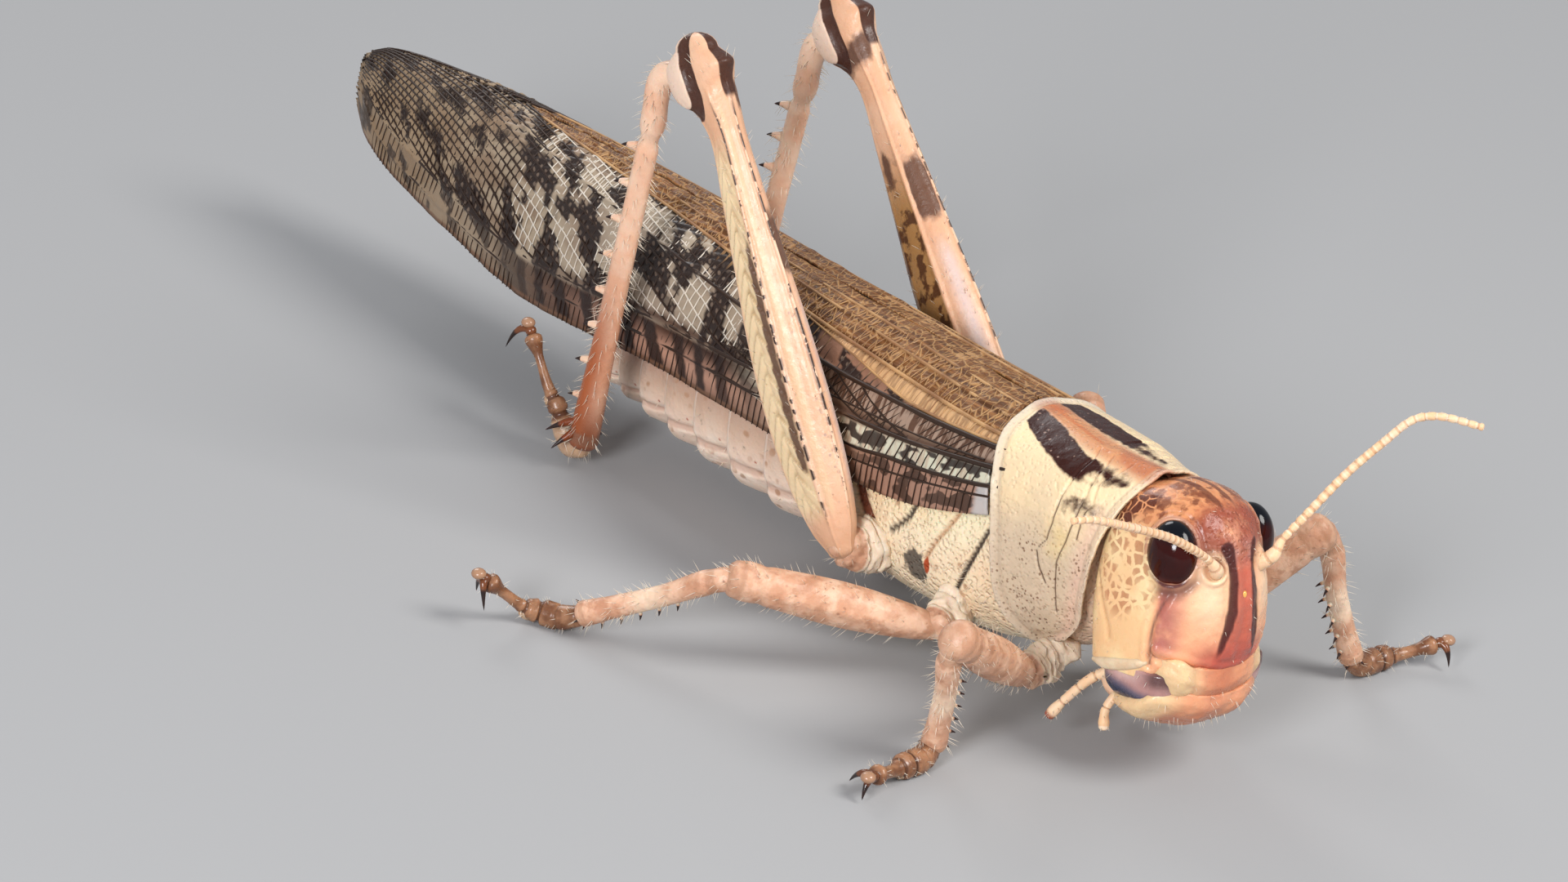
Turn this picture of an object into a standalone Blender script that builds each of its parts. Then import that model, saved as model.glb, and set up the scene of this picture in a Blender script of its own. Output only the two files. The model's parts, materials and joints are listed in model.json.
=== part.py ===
"""A migratory locust standing still, at its life size. Each part of the body is an object of its own.

Lengths are in millimetres until a mesh is made. The head faces -Y, the animal's left is +X, and the
feet stand on Z = 0. Trunk, head and wings are shaped along the body's own axis, which an empty tips
and lifts into place. The legs and feelers are shaped as they stand.
"""

import math
from bisect import bisect_right

import bmesh
import bpy
from mathutils import Vector

MM = 0.001
NECK_PLACE = (0.79, -25.978, 0.0)  # where the neck stands, so that the origin is under the middle
BODY_LIFT = 9.32  # height of the body's axis at the neck
BODY_PITCH = -2.8  # degrees: the tail end hangs a little lower
NECK_PIVOT = (0.0, 0.5, 0.5)
HEAD_TURN = (-2.8, 3.8, 3.0)  # degrees of nod, tilt and turn
GAP = 0.08  # clearance between neighbours
CHITIN = 0.5  # thickness of the pronotum and the wings
PRONOTUM_LIFT = 0.22  # space under the pronotum

# Trunk: distance back along the body, half width, top, bottom, height of its widest level.
TRUNK = (
    (1.0, 3.05, 3.50, -4.20, -0.5),
    (3.0, 3.30, 3.60, -5.60, -0.6),
    (6.0, 3.62, 3.62, -6.70, -0.9),
    (9.0, 3.90, 3.55, -7.20, -2.6),
    (13.0, 4.05, 3.45, -7.20, -3.2),
    (16.5, 3.90, 3.30, -6.95, -3.2),
    (21.0, 3.60, 2.95, -6.85, -3.1),
    (26.0, 3.35, 2.20, -6.60, -3.0),
    (31.0, 3.00, 1.10, -6.25, -3.1),
    (35.0, 2.45, -0.50, -5.75, -3.4),
    (38.0, 1.80, -2.00, -5.35, -3.8),
    (40.0, 1.15, -3.10, -5.05, -4.1),
)
SEGMENT_ENDS = (17.4, 20.6, 23.6, 26.6, 29.4, 32.0, 34.4, 36.5, 38.2, 39.6)
SEGMENT_STEP = 0.11  # how far each ring of the abdomen stands out over the next one

# Pronotum margins: angle round the trunk from the keel, front edge, rear edge.
SADDLE = (
    (0, -0.30, 8.35),
    (30, -0.05, 7.90),
    (60, 0.35, 7.00),
    (90, 0.65, 6.25),
    (112, 1.00, 5.85),
    (126, 1.45, 5.00),
    (136, 2.50, 3.70),
)
SADDLE_POWER = (2.0, 2.8)  # squareness of the pronotum's shoulders, in front and behind

# Forewing: distance back, half width, ridge height, lower edge height.
WING = (
    (6.0, 4.30, 4.45, 0.60),
    (8.5, 4.42, 4.60, -0.20),
    (13.0, 4.45, 4.85, -1.30),
    (18.0, 4.45, 5.15, -1.60),
    (25.0, 4.40, 5.45, -1.35),
    (32.0, 4.20, 5.85, -1.30),
    (39.0, 3.95, 6.15, -1.70),
    (44.0, 3.65, 6.30, -1.70),
    (50.0, 3.10, 6.30, -0.75),
    (54.0, 2.55, 6.10, 0.10),
    (57.5, 1.95, 5.75, 1.05),
    (60.0, 1.30, 5.25, 2.15),
    (61.4, 0.80, 4.65, 3.30),
)
WING_ROOT = ((0, 8.75), (45, 7.80), (90, 6.90))
WING_TIP_AT = 61.3
HINDWING = (16.0, 58.0)  # where the folded hind wings start and end
HINDWING_DEPTH = 0.85  # how far they lie inside the forewings

# Head: height, half width, front, back.
HEAD = (
    (3.47, 1.05, -3.35, -1.10),
    (3.08, 2.00, -4.20, -0.10),
    (2.20, 2.80, -4.95, 0.70),
    (1.00, 3.25, -5.35, 1.00),
    (-0.70, 3.65, -5.82, 1.05),
    (-2.50, 3.90, -5.85, 0.90),
    (-4.75, 3.90, -5.45, 0.50),
)
HEAD_CROWN = (0.0, -2.25, 3.63)
HEAD_MIDDLE = -2.2  # the widest place, behind the face and before the squarer cheeks
HEAD_BASE = (0.0, -2.60, -4.75)
EYE_PLACE = (2.57, -3.50, 0.98)
EYE_SIZE = (1.00, 1.25, 1.62)

# Mouth: height, middle across, middle along, half width, half length.
CLYPEUS = ((-4.84, 0, -4.65, 2.45, 0.95), (-5.35, 0, -4.62, 2.35, 0.90), (-5.80, 0, -4.60, 2.30, 0.80))
LABRUM = (
    (-5.88, 0, -4.25, 2.60, 1.05),
    (-6.40, 0, -4.05, 2.60, 1.15),
    (-6.95, 0, -3.80, 2.10, 1.00),
    (-7.35, 0, -3.55, 1.20, 0.55),
)
MANDIBLE = (
    (-4.84, 2.20, -2.75, 1.60, 2.10),
    (-5.60, 2.20, -2.75, 1.62, 2.05),
    (-6.40, 1.95, -2.75, 1.40, 1.70),
    (-6.90, 1.70, -2.75, 0.80, 1.00),
)
LABIUM = (
    (-4.84, 0, -0.60, 2.80, 0.75),
    (-5.80, 0, -0.85, 3.10, 0.95),
    (-6.60, 0, -1.35, 2.90, 1.05),
    (-7.15, 0, -1.75, 1.90, 0.80),
)

# Feelers and palps as they stand: x, y, z, radius.
FEELERS = {
    "right": (
        (-0.95, -4.25, 10.45, 0.44),
        (-1.30, -4.85, 11.10, 0.40),
        (-1.95, -4.80, 11.80, 0.27),
        (-3.40, -5.00, 12.80, 0.28),
        (-5.30, -5.25, 13.90, 0.28),
        (-7.80, -5.45, 15.00, 0.27),
        (-10.30, -5.45, 15.95, 0.25),
        (-11.50, -5.41, 16.15, 0.22),
    ),
    "left": (
        (1.75, -4.40, 10.50, 0.44),
        (2.15, -4.95, 11.15, 0.40),
        (2.60, -4.95, 11.80, 0.27),
        (3.54, -5.18, 12.85, 0.28),
        (5.26, -5.76, 14.95, 0.28),
        (6.63, -6.40, 16.49, 0.27),
        (7.69, -6.97, 17.61, 0.26),
        (8.51, -7.79, 17.95, 0.25),
        (9.65, -9.33, 17.85, 0.22),
    ),
}
PALPS = {
    "maxillary_palp_right": (
        (-2.90, -1.05, 4.70, 0.30),
        (-3.50, -0.35, 4.05, 0.28),
        (-4.20, 0.42, 2.75, 0.26),
        (-4.60, 0.84, 1.87, 0.30),
    ),
    "labial_palp_right": (
        (-2.55, -1.90, 4.20, 0.28),
        (-3.30, -1.75, 3.70, 0.26),
        (-3.75, -1.75, 3.10, 0.25),
        (-3.90, -1.98, 2.40, 0.28),
    ),
    "maxillary_palp_left": (
        (2.75, -1.00, 4.60, 0.30),
        (3.35, -0.45, 3.90, 0.28),
        (3.75, 0.15, 2.70, 0.26),
        (3.85, 0.40, 1.80, 0.30),
    ),
    "labial_palp_left": (
        (2.20, -1.90, 4.10, 0.28),
        (2.90, -1.75, 3.60, 0.26),
        (3.20, -1.85, 2.95, 0.25),
        (3.20, -2.10, 2.25, 0.28),
    ),
}

# Legs as they stand. A foot runs from the ankle to the toe, with a radius at each point.
LEGS = {
    "front_right": {
        "root": (-2.0, 3.3, 3.6),
        "hip": (-4.4, 2.9, 2.95),
        "knee": (-11.75, 0.27, 7.74),
        "ankle": (-10.2, 2.36, 1.15),
        "foot": (
            (-10.3, 2.40, 0.95, 0.50),
            (-11.0, 2.20, 0.58, 0.62),
            (-12.2, 2.05, 0.58, 0.62),
            (-13.2, 1.85, 0.66, 0.44),
            (-14.3, 1.50, 0.95, 0.48),
        ),
        "claws": ((-14.9, 2.65, 0.22), (-15.55, 1.00, 0.22)),
    },
    "front_left": {
        "root": (2.0, 3.2, 3.7),
        "hip": (4.3, 2.6, 3.05),
        "knee": (10.78, -0.09, 8.21),
        "ankle": (13.6, -0.75, 1.2),
        "foot": (
            (13.7, -0.80, 0.95, 0.50),
            (14.4, -0.80, 0.58, 0.62),
            (15.8, -0.80, 0.58, 0.62),
            (17.0, -1.15, 0.70, 0.44),
            (18.2, -1.70, 1.10, 0.48),
        ),
        "claws": ((18.5, -2.75, 0.30), (19.45, -1.55, 0.60)),
    },
    "middle_right": {
        "root": (-2.3, 9.6, 3.6),
        "hip": (-4.9, 8.7, 2.75),
        "knee": (-13.05, 13.75, 4.87),
        "ankle": (-16.89, 19.73, 1.2),
        "foot": (
            (-17.0, 20.00, 0.95, 0.50),
            (-17.35, 20.9, 0.58, 0.62),
            (-17.8, 21.75, 0.58, 0.62),
            (-18.5, 22.15, 0.80, 0.46),
            (-19.5, 22.45, 1.60, 0.40),
            (-20.25, 22.65, 2.25, 0.48),
        ),
        "claws": ((-20.95, 22.10, 1.20), (-20.30, 23.60, 1.40)),
    },
    "middle_left": {
        "root": (2.3, 9.5, 3.7),
        "hip": (4.7, 8.9, 3.1),
        "knee": (8.9, 14.4, 8.9),
        "ankle": (12.0, 17.2, 1.2),
        "foot": (
            (12.2, 17.40, 0.95, 0.50),
            (12.9, 18.00, 0.58, 0.62),
            (14.0, 18.90, 0.58, 0.62),
            (14.9, 19.60, 0.70, 0.44),
            (16.1, 20.50, 1.05, 0.48),
        ),
        "claws": ((17.30, 20.60, 0.25), (16.60, 21.70, 0.25)),
    },
    "hind_right": {
        "root": (-2.9, 14.6, 4.1),
        "hip": (-5.75, 14.7, 4.35),
        "knee": (-6.37, 27.20, 23.80),
        "crook": (-6.75, 30.10, 22.60),
        "ankle": (-5.90, 34.00, 1.70),
        "foot": (
            (-5.80, 34.15, 1.15, 0.55),
            (-5.90, 35.00, 1.00, 0.62),
            (-6.05, 36.00, 2.50, 0.52),
            (-6.20, 36.86, 3.50, 0.42),
            (-6.20, 37.60, 4.50, 0.36),
            (-6.20, 38.30, 5.40, 0.46),
        ),
        "claws": ((-6.75, 39.75, 4.45), (-5.45, 39.60, 4.35)),
    },
    "hind_left": {
        "root": (2.9, 14.5, 4.2),
        "hip": (5.75, 14.7, 4.75),
        "knee": (7.15, 32.35, 22.15),
        "crook": (6.80, 34.50, 20.40),
        "ankle": (7.9, 38.9, 1.50),
        "foot": (
            (8.00, 39.20, 0.95, 0.55),
            (8.35, 40.30, 0.60, 0.66),
            (8.80, 41.70, 0.60, 0.66),
            (9.20, 43.00, 0.75, 0.46),
            (9.75, 44.70, 1.25, 0.50),
        ),
        "claws": ((9.60, 46.10, 0.35), (11.00, 45.70, 0.35)),
    },
}
# Spurs round the end of a hind tibia: share of its length, offset of the tip from the middle.
HIND_SPURS = (
    (0.952, (-1.00, 1.50, -1.00)),
    (0.952, (1.30, 1.35, -1.00)),
    (0.985, (-1.00, 0.40, -1.35)),
    (0.985, (1.20, 0.30, -1.30)),
)
# Hind femur: share of its length, depth, thickness, sag towards its lower edge.
HIND_FEMUR = (
    (0.00, 1.60, 1.20, 0.00),
    (0.05, 2.80, 1.80, 0.10),
    (0.15, 3.85, 2.25, 0.25),
    (0.30, 4.25, 2.40, 0.35),
    (0.45, 3.95, 2.25, 0.30),
    (0.60, 3.20, 1.95, 0.15),
    (0.75, 2.45, 1.65, 0.00),
    (0.86, 1.95, 1.45, -0.10),
    (0.91, 2.30, 1.80, 0.05),
    (0.96, 3.30, 2.25, 0.45),
    (1.00, 3.30, 2.20, 0.50),
    (1.03, 2.20, 1.50, 0.40),
)
HIND_SPINES = 8
SMALL_SPINES = 5

COLOURS = {
    "shell": ((0.78, 0.58, 0.36), 0.42),
    "face": ((0.74, 0.34, 0.22), 0.38),
    "eye": ((0.10, 0.02, 0.02), 0.12),
    "limb": ((0.82, 0.55, 0.38), 0.45),
    "belly": ((0.84, 0.62, 0.50), 0.50),
    "wing": ((0.20, 0.14, 0.09), 0.45),
    "membrane": ((0.62, 0.58, 0.46), 0.35),
    "foot": ((0.34, 0.17, 0.09), 0.40),
    "claw": ((0.06, 0.03, 0.02), 0.30),
    "jaw": ((0.10, 0.12, 0.22), 0.30),
}


def along(rows, at):
    """The row of values at a key, on a smooth curve through the rows."""
    keys = [row[0] for row in rows]
    last = len(rows) - 1
    k = min(max(bisect_right(keys, at) - 1, 0), last - 1)
    span = keys[k + 1] - keys[k]
    u = min(max((at - keys[k]) / span, 0.0), 1.0)

    def slope(i, c):
        lo, hi = max(i - 1, 0), min(i + 1, last)
        return (rows[hi][c] - rows[lo][c]) / (keys[hi] - keys[lo]) * span

    def value(c):
        h01 = u * u * (3 - 2 * u)
        swing = slope(k, c) * u * (1 - u) ** 2 - slope(k + 1, c) * u * u * (1 - u)
        return rows[k][c] * (1 - h01) + rows[k + 1][c] * h01 + swing

    return [value(c) for c in range(1, len(rows[0]))]


def by_length(points):
    """Rows keyed by the share of the length run at each point."""
    total = [0.0]
    for one, two in zip(points, points[1:]):
        total.append(total[-1] + (Vector(two[:3]) - Vector(one[:3])).length)
    return [(run / total[-1], *point) for run, point in zip(total, points)]


def bulge(angle, power):
    """Across and up on a unit superellipse, from the top round to the animal's left."""
    across, up = math.sin(angle), math.cos(angle)
    flat = 2.0 / power
    return math.copysign(abs(across) ** flat, across), math.copysign(abs(up) ** flat, up)


def material(finish):
    """The plain material of a finish, made once."""
    made = bpy.data.materials.get(finish)
    if made:
        return made
    made = bpy.data.materials.new(finish)
    made.use_nodes = True
    colour, rough = COLOURS[finish]
    shader = made.node_tree.nodes["Principled BSDF"]
    shader.inputs["Base Color"].default_value = (*colour, 1.0)
    shader.inputs["Roughness"].default_value = rough
    shader.inputs["Metallic"].default_value = 0.0
    return made


def add_object(name, mesh, finish, parent):
    mesh.shade_smooth()
    mesh.set_sharp_from_angle(angle=math.radians(50))
    mesh.materials.append(material(finish))
    body = bpy.data.objects.new(name, mesh)
    bpy.context.collection.objects.link(body)
    body.parent = parent
    return body


def add_mesh(name, points, faces, finish, parent):
    mesh = bpy.data.meshes.new(name)
    mesh.from_pydata([Vector(p) * MM for p in points], [], faces)
    build = bmesh.new()
    build.from_mesh(mesh)
    bmesh.ops.recalc_face_normals(build, faces=build.faces)
    build.to_mesh(mesh)
    build.free()
    return add_object(name, mesh, finish, parent)


def loft(name, rings, first_pole, last_pole, finish, parent, spikes=None):
    """A closed skin through rings of equal count, each end drawn in to a pole.

    A face listed in spikes, by its ring and its side, is raised to a point.
    """
    count = len(rings[0])
    points = [p for ring in rings for p in ring]
    faces = []
    for k in range(len(rings) - 1):
        for j in range(count):
            a, b = k * count + j, k * count + (j + 1) % count
            quad = (a, b, b + count, a + count)
            point = (spikes or {}).get((k, j))
            if point is None:
                faces.append(quad)
                continue
            points.append(point)
            tip = len(points) - 1
            faces += [(quad[i], quad[(i + 1) % 4], tip) for i in range(4)]
    for pole, start, order in ((first_pole, 0, -1), (last_pole, (len(rings) - 1) * count, 1)):
        points.append(pole)
        tip = len(points) - 1
        ends = [start + j for j in range(count)][::order]
        faces += [(ends[j], ends[(j + 1) % count], tip) for j in range(count)]
    return add_mesh(name, points, faces, finish, parent)


def make_room(owner, guest, gap=GAP):
    """Cuts a seat for the guest out of the owner, a little larger than the guest."""
    cutter = bpy.data.objects.new("room_for_" + guest.name, guest.data.copy())
    bpy.context.collection.objects.link(cutter)
    cutter.parent = guest.parent
    for corner in cutter.data.vertices:
        corner.co += corner.normal * gap * MM
    cutter.hide_render = True
    cutter.display_type = "WIRE"
    cut = owner.modifiers.new("room_for_" + guest.name, "BOOLEAN")
    cut.operation = "DIFFERENCE"
    cut.solver = "EXACT"
    cut.object = cutter


def stand_on_ground(body):
    """Flattens what dips below the ground into a small flat on it."""
    for corner in body.data.vertices:
        corner.co.z = max(corner.co.z, 0.0)


def limb(name, points, finish, parent, lie=(1, 0, 0), sides=8, stops=7, spines=()):
    """A tapering limb through points (x, y, z, half depth[, half width]), round at both ends.

    Spines are (share of the length, offset of the tip from the limb's middle).
    """
    rows = by_length([p if len(p) == 5 else (*p, p[3]) for p in points])
    shares = [k / (stops - 1) for k in range(stops)]
    foot = 0.011  # half length of a spine's foot, as a share of the limb
    if spines:
        shares = sorted({0.0, 0.07, 1.0, *(s + d for s, _ in spines for d in (-foot, foot))})
    rings, middles = [], []
    for share in shares:
        *centre, deep, wide = along(rows, share)
        before, after = (Vector(along(rows, share + step)[:3]) for step in (-0.02, 0.02))
        ahead = (after - before).normalized()
        side = Vector(lie) - ahead * ahead.dot(Vector(lie))
        side.normalize()
        up = ahead.cross(side)
        middles.append((Vector(centre), ahead, deep))
        turns = [2 * math.pi * j / sides for j in range(sides)]
        middle = Vector(centre)
        rings.append([middle + side * wide * math.cos(t) + up * deep * math.sin(t) for t in turns])
    ends = []
    for k, way in ((0, -1), (-1, 1)):
        centre, ahead, deep = middles[k]
        brow = [centre + (p - centre) * 0.7 + ahead * way * deep * 0.45 for p in rings[k]]
        ends.append((brow, centre + ahead * way * deep * 0.62))
    rings = [ends[0][0], *rings, ends[1][0]]
    spikes = {}
    for share, offset in spines:
        k = next(i for i, s in enumerate(shares) if s > share) - 1
        centre = (middles[k][0] + middles[k + 1][0]) / 2
        reach = Vector(offset)

        def faces_it(j, ring=rings[k + 1], centre=centre, reach=reach):
            return ((ring[j] + ring[(j + 1) % sides]) / 2 - centre).dot(reach)

        spikes[(k + 1, max(range(sides), key=faces_it))] = centre + reach
    return loft(name, rings, ends[0][1], ends[1][1], finish, parent, spikes)


def trunk_point(y, angle, grow=0.0, power=2.15):
    """A point of the trunk's surface: angle runs from the back's middle to the animal's left."""
    wide, top, bottom, middle = along(TRUNK, y)
    across, up = bulge(angle, power)
    tall = top - middle + grow if up > 0 else middle - bottom + grow
    return Vector((across * (wide + grow), y, middle + up * tall))


def trunk_ring(y, grow=0.0, sides=20):
    return [trunk_point(y, 2 * math.pi * j / sides, grow) for j in range(sides)]


def trunk_piece(name, stations, finish, parent, sides=20):
    """A length of the trunk with flat ends, from (distance back, growth) stations."""
    rings = [trunk_ring(y, grow, sides) for y, grow in stations]
    middles = [sum(ring, Vector()) / sides for ring in (rings[0], rings[-1])]
    return loft(name, rings, middles[0], middles[1], finish, parent)


def make_trunk(axis):
    made = {
        "prothorax": trunk_piece("prothorax", [(y, 0) for y in (1.9, 3.0, 4.6, 6.0, 7.2)], "belly", axis),
        "thorax": trunk_piece("thorax", [(y, 0) for y in (7.3, 9, 11, 13, 15, 17.3)], "shell", axis),
    }
    shares = (("abdomen_front", 0, 3), ("abdomen_middle", 3, 6), ("abdomen_rear", 6, 9))
    for name, first, last in shares:
        stations = []
        for start, end in zip(SEGMENT_ENDS[first:last], SEGMENT_ENDS[first + 1 : last + 1]):
            stations += [(start + GAP, -SEGMENT_STEP), (end - 0.25, SEGMENT_STEP), (end, 0.0)]
        made[name] = trunk_piece(name, stations, "belly", axis, sides=16)
    return made


def sheet(name, point, across, back, thick, finish, parent):
    """A shell over a grid of points, thickened inwards."""
    columns, rows = len(across), len(back)
    points = [point(a, b) for b in back for a in across]
    faces = []
    for k in range(rows - 1):
        for j in range(columns - 1):
            corner = k * columns + j
            faces.append((corner, corner + 1, corner + columns + 1, corner + columns))
    mesh = bpy.data.meshes.new(name)
    mesh.from_pydata([p * MM for p in points], [], faces)
    body = add_object(name, mesh, finish, parent)
    wall = body.modifiers.new("thickness", "SOLIDIFY")
    wall.thickness = thick * MM
    wall.offset = -1
    wall.use_even_offset = True
    return body


def saddle_point(turn, share):
    """A point of the pronotum: turn in degrees from its keel, share from its front edge to its rear."""
    front, rear = along(SADDLE, abs(turn))
    y = front + (rear - front) * share
    keel = 0.22 * math.exp(-((turn / 9.0) ** 2))
    flare = 0.18 * share**4
    grow = PRONOTUM_LIFT + CHITIN + keel + flare
    power = 2.15
    if abs(turn) < 90:
        power = SADDLE_POWER[0] + (SADDLE_POWER[1] - SADDLE_POWER[0]) * min(share / 0.4, 1)
    return trunk_point(max(y, 1.0), math.radians(turn), grow, power) + Vector((0, min(y - 1.0, 0), 0))


def make_pronotum(axis):
    turns = [-136, -124, -105, -75, -42, -15, 0, 15, 42, 75, 105, 124, 136]
    shares = [0, 0.15, 0.4, 0.7, 0.9, 1.0]
    return sheet("pronotum", saddle_point, turns, shares, CHITIN, "shell", axis)


def wing_point(y, turn, side, depth=0.0, parting=0.12):
    """A point of a folded forewing: turn in degrees from the ridge to the lower edge."""
    wide, ridge, low = along(WING, y)
    angle = math.radians(turn)
    x = parting + (wide - depth - parting) * math.sin(angle)
    z = low + (ridge - low) * math.cos(angle) ** 0.88 - depth * math.cos(angle)
    return Vector((side * x, y, z))


def make_wings(axis):
    for side, word in ((-1, "right"), (1, "left")):
        turns = [90, 74, 58, 42, 26, 12, 0.01]
        shares = [0, 0.05, 0.15, 0.28, 0.42, 0.56, 0.7, 0.8, 0.88, 0.94, 0.98, 1.0]
        if side > 0:
            turns = turns[::-1]

        def forewing(turn, share, side=side):
            root = along(WING_ROOT, turn)[0]
            return wing_point(root + (WING_TIP_AT - root) * share, turn, side)

        def hindwing(turn, share, side=side):
            root, tip = HINDWING
            return wing_point(root + (tip - root) * share, turn, side, HINDWING_DEPTH, 0.45)

        sheet("forewing_" + word, forewing, turns, shares, CHITIN, "wing", axis)
        folds = [8, 20, 32, 44] if side > 0 else [44, 32, 20, 8]
        rest = [k / 8 for k in range(9)]
        sheet("hindwing_" + word, hindwing, folds, rest, CHITIN, "membrane", axis)


def stack(name, rows, poles, finish, parent, power=2.4, sides=20):
    """A loft of level rings from rows of (height, middle across, middle along, half sizes)."""
    rings = []
    for z, x, y, wide, long in rows:
        turns = [bulge(2 * math.pi * j / sides, power) for j in range(sides)]
        rings.append([Vector((x + wide * a, y + long * b, z)) for a, b in turns])
    return loft(name, rings, Vector(poles[0]), Vector(poles[1]), finish, parent)


def make_capsule(axis, sides=22, steps=9):
    """The head capsule, rounded before its widest place and squarer behind it."""
    top, bottom = HEAD[0][0], HEAD[-1][0]
    profile = [(-z, *rest) for z, *rest in HEAD]
    rings = []
    for k in range(steps):
        z = top + (bottom - top) * (k / (steps - 1)) ** 1.25
        wide, front, back = along(profile, -z)
        ring = []
        for j in range(sides):
            turn = 2 * math.pi * j / sides
            behind = math.cos(turn) > 0
            a, b = bulge(turn, 3.2 if behind else 2.2)
            reach = back - HEAD_MIDDLE if behind else HEAD_MIDDLE - front
            ring.append(Vector((wide * a, HEAD_MIDDLE + reach * b, z)))
        rings.append(ring)
    return loft("head", rings, Vector(HEAD_CROWN), Vector(HEAD_BASE), "face", axis)


def make_eye(name, side, parent):
    bpy.ops.mesh.primitive_uv_sphere_add(segments=12, ring_count=8, radius=MM)
    ball = bpy.context.active_object
    mesh = ball.data
    bpy.data.objects.remove(ball)
    for corner in mesh.vertices:
        corner.co = [c * size for c, size in zip(corner.co, EYE_SIZE)]
        corner.co += Vector((side * EYE_PLACE[0], *EYE_PLACE[1:])) * MM
    mesh.name = name
    return add_object(name, mesh, "eye", parent)


def mouth_piece(name, rows, side, finish, parent, sides=14):
    rows = [(z, side * x, y, wide, long) for z, x, y, wide, long in rows]
    ends = [(row[1], row[2], row[0]) for row in (rows[0], rows[-1])]
    return stack(name, rows, ends, finish, parent, power=2.8, sides=sides)


def make_head(axis, ground):
    head = make_capsule(axis)
    made = {
        "head": head,
        "clypeus": mouth_piece("clypeus", CLYPEUS, 1, "shell", axis),
        "labrum": mouth_piece("labrum", LABRUM, 1, "shell", axis),
        "labium": mouth_piece("labium", LABIUM, 1, "belly", axis),
    }
    for side, word in ((-1, "right"), (1, "left")):
        eye = make_eye("eye_" + word, side, axis)
        feeler = limb("antenna_" + word, FEELERS[word], "limb", ground, lie=(0, 1, 0), sides=6, stops=11)
        jaw = mouth_piece("mandible_" + word, MANDIBLE, side, "jaw", axis, sides=9)
        make_room(head, eye)
        make_room(head, feeler)
        for front in ("clypeus", "labrum", "labium"):
            make_room(jaw, made[front])
        made["mandible_" + word] = jaw
    make_room(made["labrum"], made["clypeus"])
    for name, points in PALPS.items():
        palp = limb(name, points, "limb", ground, lie=(0, 1, 0), sides=6, stops=5)
        for owner in ("labium", "mandible_" + name.split("_")[-1]):
            make_room(made[owner], palp)
    return made


def spine_pairs(count, first, last, reach, spread):
    """Pairs of spines down a tibia, one on each side of its edge."""
    pairs = []
    for k in range(count):
        share = first + (last - first) * k / (count - 1)
        pairs += [(share, reach + spread), (share, reach - spread)]
    return pairs


def make_small_leg(name, leg, ground):
    """A front or middle leg: coxa, femur, tibia, foot and claws."""
    root, hip, knee, ankle = (Vector(leg[key]) for key in ("root", "hip", "knee", "ankle"))
    thigh = (knee - hip).normalized()
    shin = (ankle - knee).normalized()
    hinge = thigh.cross(shin).normalized()
    inner = hinge.cross(shin).normalized()
    if inner.dot(thigh) > 0:
        inner = -inner
    base = [(*root, 0.95), (*root.lerp(hip, 0.5), 0.98), (*hip, 0.80)]
    coxa = limb("coxa_" + name, base, "limb", ground, sides=7, stops=3)
    upper = [
        (*(hip + thigh * 0.2), 0.62),
        (*(hip + thigh * 1.1), 0.78),
        (*hip.lerp(knee, 0.45), 1.02),
        (*hip.lerp(knee, 0.85), 0.92),
        (*knee, 0.95, 0.85),
    ]
    femur = limb("femur_" + name, upper, "limb", ground, lie=hinge, stops=8)
    shank = [
        (*(knee - inner * 0.1), 0.55),
        (*(knee + shin * 1.3 - inner * 0.25), 0.62),
        (*knee.lerp(ankle, 0.5), 0.58),
        (*ankle, 0.62),
    ]
    spines = spine_pairs(SMALL_SPINES, 0.42, 0.92, inner * 0.85, hinge * 0.47)
    tibia = limb("tibia_" + name, shank, "limb", ground, lie=hinge, sides=6, spines=spines)
    make_room(femur, tibia)
    make_room(coxa, femur)
    make_foot(name, leg, tibia, hinge, ground)
    return coxa, femur


def make_foot(name, leg, tibia, lie, ground):
    """The tarsus, flat where it rests on the ground, and its pair of claws."""
    foot = limb("tarsus_" + name, leg["foot"], "foot", ground, lie=lie, sides=7, stops=8)
    stand_on_ground(foot)
    make_room(tibia, foot)
    toe = Vector(leg["foot"][-1][:3])
    ahead = (toe - Vector(leg["foot"][-2][:3])).normalized()
    knuckle = toe + ahead * 0.75
    one, two = (Vector(tip) for tip in leg["claws"])
    arches = [knuckle.lerp(tip, 0.55) + Vector((0, 0, 0.22)) for tip in (one, two)]
    hooks = [(*one, 0.08), (*arches[0], 0.2), (*knuckle, 0.3), (*arches[1], 0.2), (*two, 0.08)]
    stand_on_ground(limb("claws_" + name, hooks, "claw", ground, lie=(0, 0, 1), sides=5))


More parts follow.
